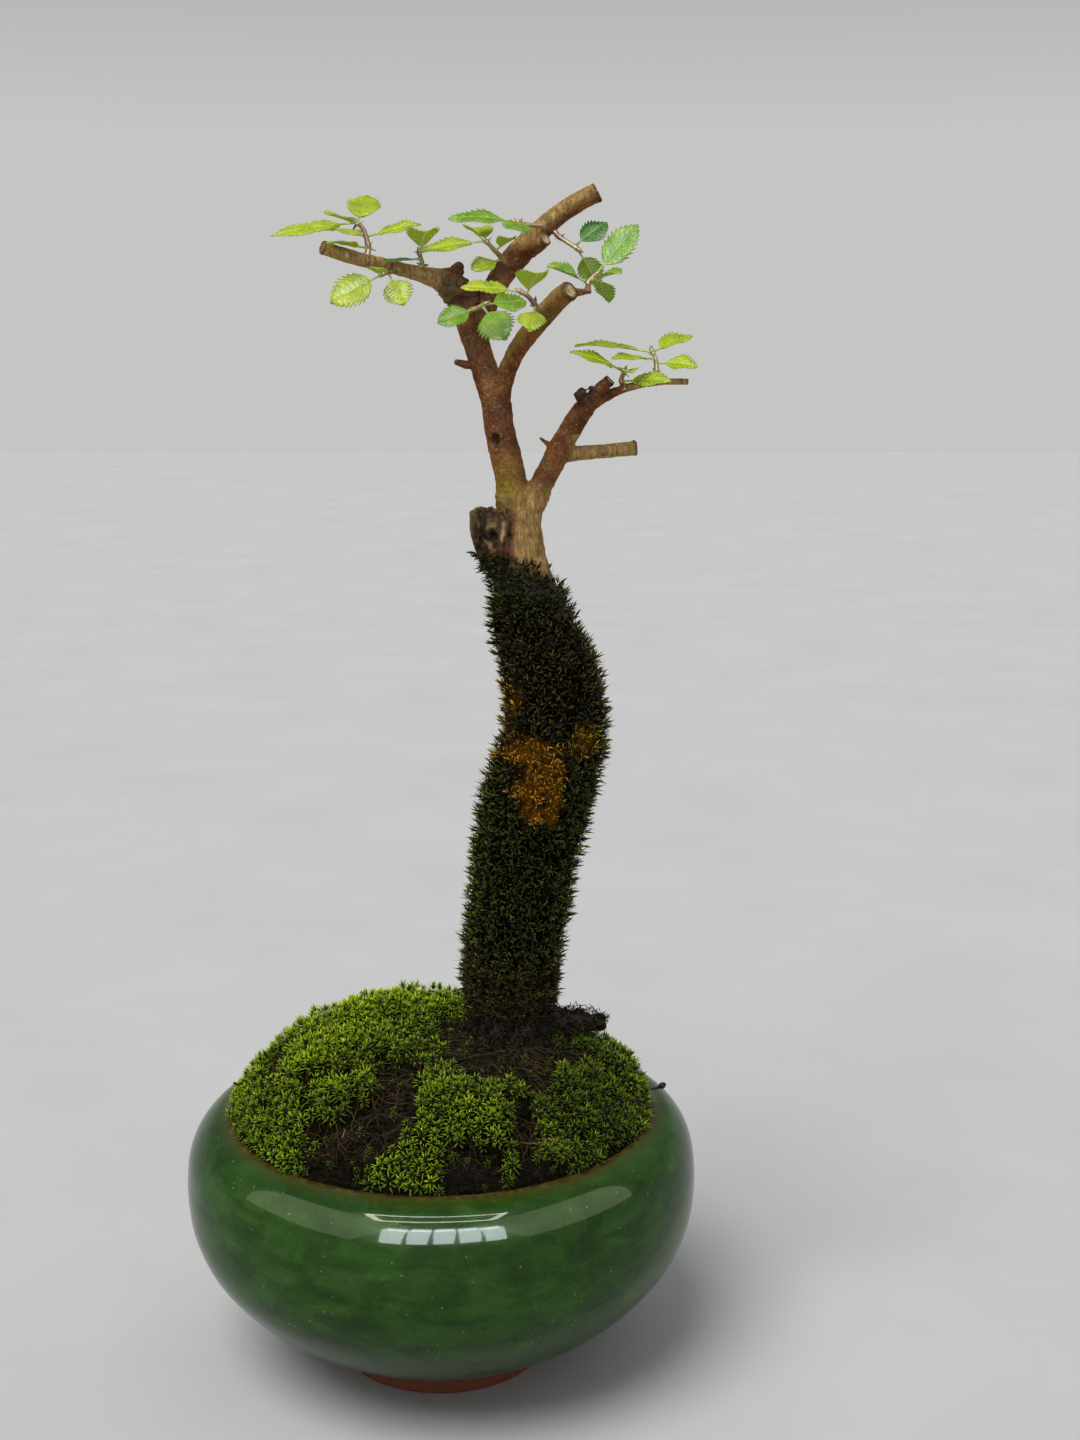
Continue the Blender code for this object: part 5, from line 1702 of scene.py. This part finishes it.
def make_leaf(node, shoot, look):
    """A leaf along its CAD shape's middle, with a toothed edge, pillowed veins, stalk and rib."""
    lefts, middles, rights = row_points(leaf_rows(node, shoot))
    steps = np.linalg.norm(np.diff(middles, axis=0), axis=1)
    row_shares = np.concatenate([[0.0], np.cumsum(steps) / steps.sum()])
    widest = np.linalg.norm(rights - lefts, axis=1).max()
    across_way = unit(rights[3] - lefts[3])
    fold = (lefts + rights) / 2 - middles
    lift = fold[3:-2].mean(axis=0) / (widest / 2)
    lift = lift - across_way * lift.dot(across_way)
    count = 110
    shares = np.linspace(BLADE_FROM, 1.0, count)
    spine = smooth_between(row_shares, middles, shares)
    along_blade = (shares - BLADE_FROM) / (1.0 - BLADE_FROM)
    outline = np.sin(math.pi * np.clip(along_blade, 0, 1) ** 0.78) ** 0.72
    outline = np.maximum(outline, 0.0) * widest / 2
    ways = unit(np.gradient(spine, axis=0))
    sides = unit(across_way[None] - ways * (ways @ across_way)[:, None])
    ups = unit(np.cross(ways, sides))
    if ups.mean(axis=0) @ lift < 0:
        ups = -ups
    lift_size = np.linalg.norm(lift)
    teeth = 8.5
    phase = along_blade * teeth * (0.85 + 0.3 * along_blade)
    saw = phase % 1.0
    tooth = np.where(saw < 0.72, saw / 0.72, (1.0 - saw) / 0.28)
    small = np.abs(((phase * 2.0) % 1.0) - 0.5) * 2.0
    depth = 0.30 * (0.35 + 0.65 * np.sin(math.pi * along_blade))
    edge_growth = 1.0 + depth * (tooth - 0.45) + 0.02 * small
    u = np.linspace(-1.0, 1.0, 19)
    grid = np.zeros((count, len(u), 3))
    thick = 0.10 * MM
    waviness = CHANCE.uniform(0.0, 6.28)
    for column, across in enumerate(u):
        away = abs(across)
        at_edge = ease(0.72, 1.0, away)
        reach = outline * across * (1.0 + (edge_growth - 1.0) * at_edge)
        forward = ways * (0.10 * widest * (tooth * at_edge * depth * 3.0))[:, None]
        slant = (along_blade - VEIN_SLANT * away) * VEIN_COUNT
        pillow = np.cos(2.0 * math.pi * slant) * 0.5 + 0.5
        relief = 0.085 * MM * pillow * np.sin(math.pi * min(away * 1.05, 1.0))
        crease = -0.10 * MM * math.exp(-(across / 0.10) ** 2)
        half_turn = 1.7 if across > 0 else 0.0
        wave = 0.16 * MM * away ** 2 * np.sin(along_blade * 11.0 + waviness + half_turn)
        curl = -0.05 * widest * away ** 3
        height = lift_size * np.abs(reach) + relief + crease + wave + curl
        grid[:, column] = spine + forward + sides * reach[:, None] + ups * height[:, None]
    taper = np.minimum(1.0, 5.0 * outline / (widest / 2))
    top = grid + ups[:, None, :] * (thick / 2 * taper)[:, None, None]
    bottom = grid - ups[:, None, :] * (thick / 2 * taper)[:, None, None]
    blade_points, quads = closed_sheet(top, bottom)
    v_along = np.repeat(along_blade, len(u))
    v_across = np.tile(u, count)
    uv = np.concatenate([
        np.stack([v_along, 0.75 + 0.23 * v_across], axis=-1),
        np.stack([v_along, 0.25 + 0.23 * v_across], axis=-1),
    ])
    foot_way = unit(middles[0] - middles[1])
    stalk_points = curved([
        middles[0] + foot_way * 0.55 * MM, middles[0], middles[1],
        smooth_between(row_shares, middles, np.array([BLADE_FROM + 0.05]))[0],
    ], 12) - ups[0] * 0.05 * MM
    stalk_radii = np.interp(np.arange(12), [0, 3, 8, 11], [0.30, 0.20, 0.18, 0.08]) * MM
    rib_shares = np.linspace(BLADE_FROM + 0.02, 0.96, 30)
    rib_points = smooth_between(row_shares, middles, rib_shares) - ups[0] * 0.10 * MM
    rib = tube(rib_points, np.linspace(0.13, 0.03, 30) * MM, 6)
    stalk = tube(stalk_points, stalk_radii, 8)
    extra_points, extra_faces, extra_marks = joined([stalk, rib])
    all_points = np.concatenate([blade_points, extra_points])
    leaf = object_from(node + "_blade", all_points, extra_faces + len(blade_points), quads)
    extra_uv = np.stack([extra_marks[:, 1], np.full(len(extra_marks), 0.25)], axis=-1)
    lay_uv(leaf.data, np.concatenate([uv, extra_uv]), "blade")
    fix_normals(leaf.data)
    finished(leaf, look, "leaf", node)


def fix_normals(mesh):
    """Turns every face outwards."""
    bm = bmesh.new()
    bm.from_mesh(mesh)
    bmesh.ops.recalc_face_normals(bm, faces=bm.faces)
    bm.to_mesh(mesh)
    bm.free()
    mesh.shade_smooth()


def make_shoot(node, tree, look, bud_look):
    """A stem along its CAD shape, thicker at its foot and joints, with a bud and stipules."""
    centres = shoot_centres(node)
    first_gap = tree.find_nearest(Vector(centres[0]))[3]
    last_gap = tree.find_nearest(Vector(centres[-1]))[3]
    if first_gap > last_gap:
        centres = centres[::-1]
    foot = np.array(tree.find_nearest(Vector(centres[0]))[0])
    inside = foot + unit(foot - centres[0]) * 0.7 * MM
    line = curved(np.concatenate([[inside], centres]), 8 * len(centres))
    shares = np.linspace(0.0, 1.0, len(line))
    radii = (0.62 - 0.26 * shares) * MM
    radii += 0.22 * MM * np.exp(-(shares / 0.10) ** 2)
    radii += 0.10 * MM * np.exp(-((shares - 0.55) / 0.05) ** 2)
    radii += 0.12 * MM * np.exp(-((shares - 0.97) / 0.05) ** 2)
    parts = [tube(line, radii, 10)]
    end_way = unit(line[-1] - line[-4])
    bud = line[-1] + np.outer(np.linspace(-0.2, 1.3, 8) * MM, end_way)
    parts.append(tube(bud, np.array([0.30, 0.42, 0.46, 0.42, 0.33, 0.22, 0.12, 0.03]) * MM, 8))
    points, faces, _ = joined(parts)
    stem = object_from(node + "_stem", points, faces)
    bump = wander(points, 0.9 * MM, 91) * 0.04 * MM
    move_points(stem.data, points + normals_of(stem.data) * bump[:, None])
    finished(stem, look, "stem", node)
    places = []
    ups = []
    kinds = [blade(1.5 * MM, 0.55 * MM, math.radians(20), 0.2, 3)]
    for share in (0.10, 0.5, 0.56, 0.92, 0.97):
        k = int(share * (len(line) - 1))
        way = unit(line[min(k + 1, len(line) - 1)] - line[k - 1])
        places.append(line[k])
        ups.append(way + CHANCE.normal(0.0, 0.35, 3))
    scatter(
        node + "_stipules", kinds, np.array(places), np.array(ups), CHANCE.uniform(0.7, 1.2, len(places)),
        CHANCE.uniform(0.2, 0.8, len(places)), bud_look, "stem",
    )
    return centres


def make_foliage():
    stem = stem_look()
    scale_look = blade_look(
        "stipules", srgb(170, 120, 80),
        (0.0, 120, 130, 50), (0.5, 150, 90, 50), (1.0, 120, 52, 36),
    )
    bright = leaf_look(
        "young_leaf_bright", srgb(132, 156, 4), srgb(166, 186, 6), srgb(198, 208, 34),
        srgb(152, 168, 30), 0.25,
    )
    mid = leaf_look(
        "young_leaf_green", srgb(84, 128, 6), srgb(116, 158, 10), srgb(158, 188, 34),
        srgb(126, 150, 40), 0.30,
    )
    deep = leaf_look(
        "older_leaf_green", srgb(34, 80, 10), srgb(54, 106, 16), srgb(88, 138, 34),
        srgb(104, 122, 52), 0.25,
    )
    for name in SHOOTS:
        centres = make_shoot(name, BARK_TREE, stem, scale_look)
        leaves = sorted(leaf for leaf in NODES if leaf.startswith(name + "_leaf_"))
        for leaf in leaves:
            look = bright
            if name in ("apex_high_shoot", "apex_right_shoot", "spur_shoot", "fork_shoot"):
                look = mid
            if leaf in ("apex_right_shoot_leaf_1", "left_inner_shoot_leaf_2"):
                look = deep
            make_leaf(leaf, centres, look)


make_foliage()
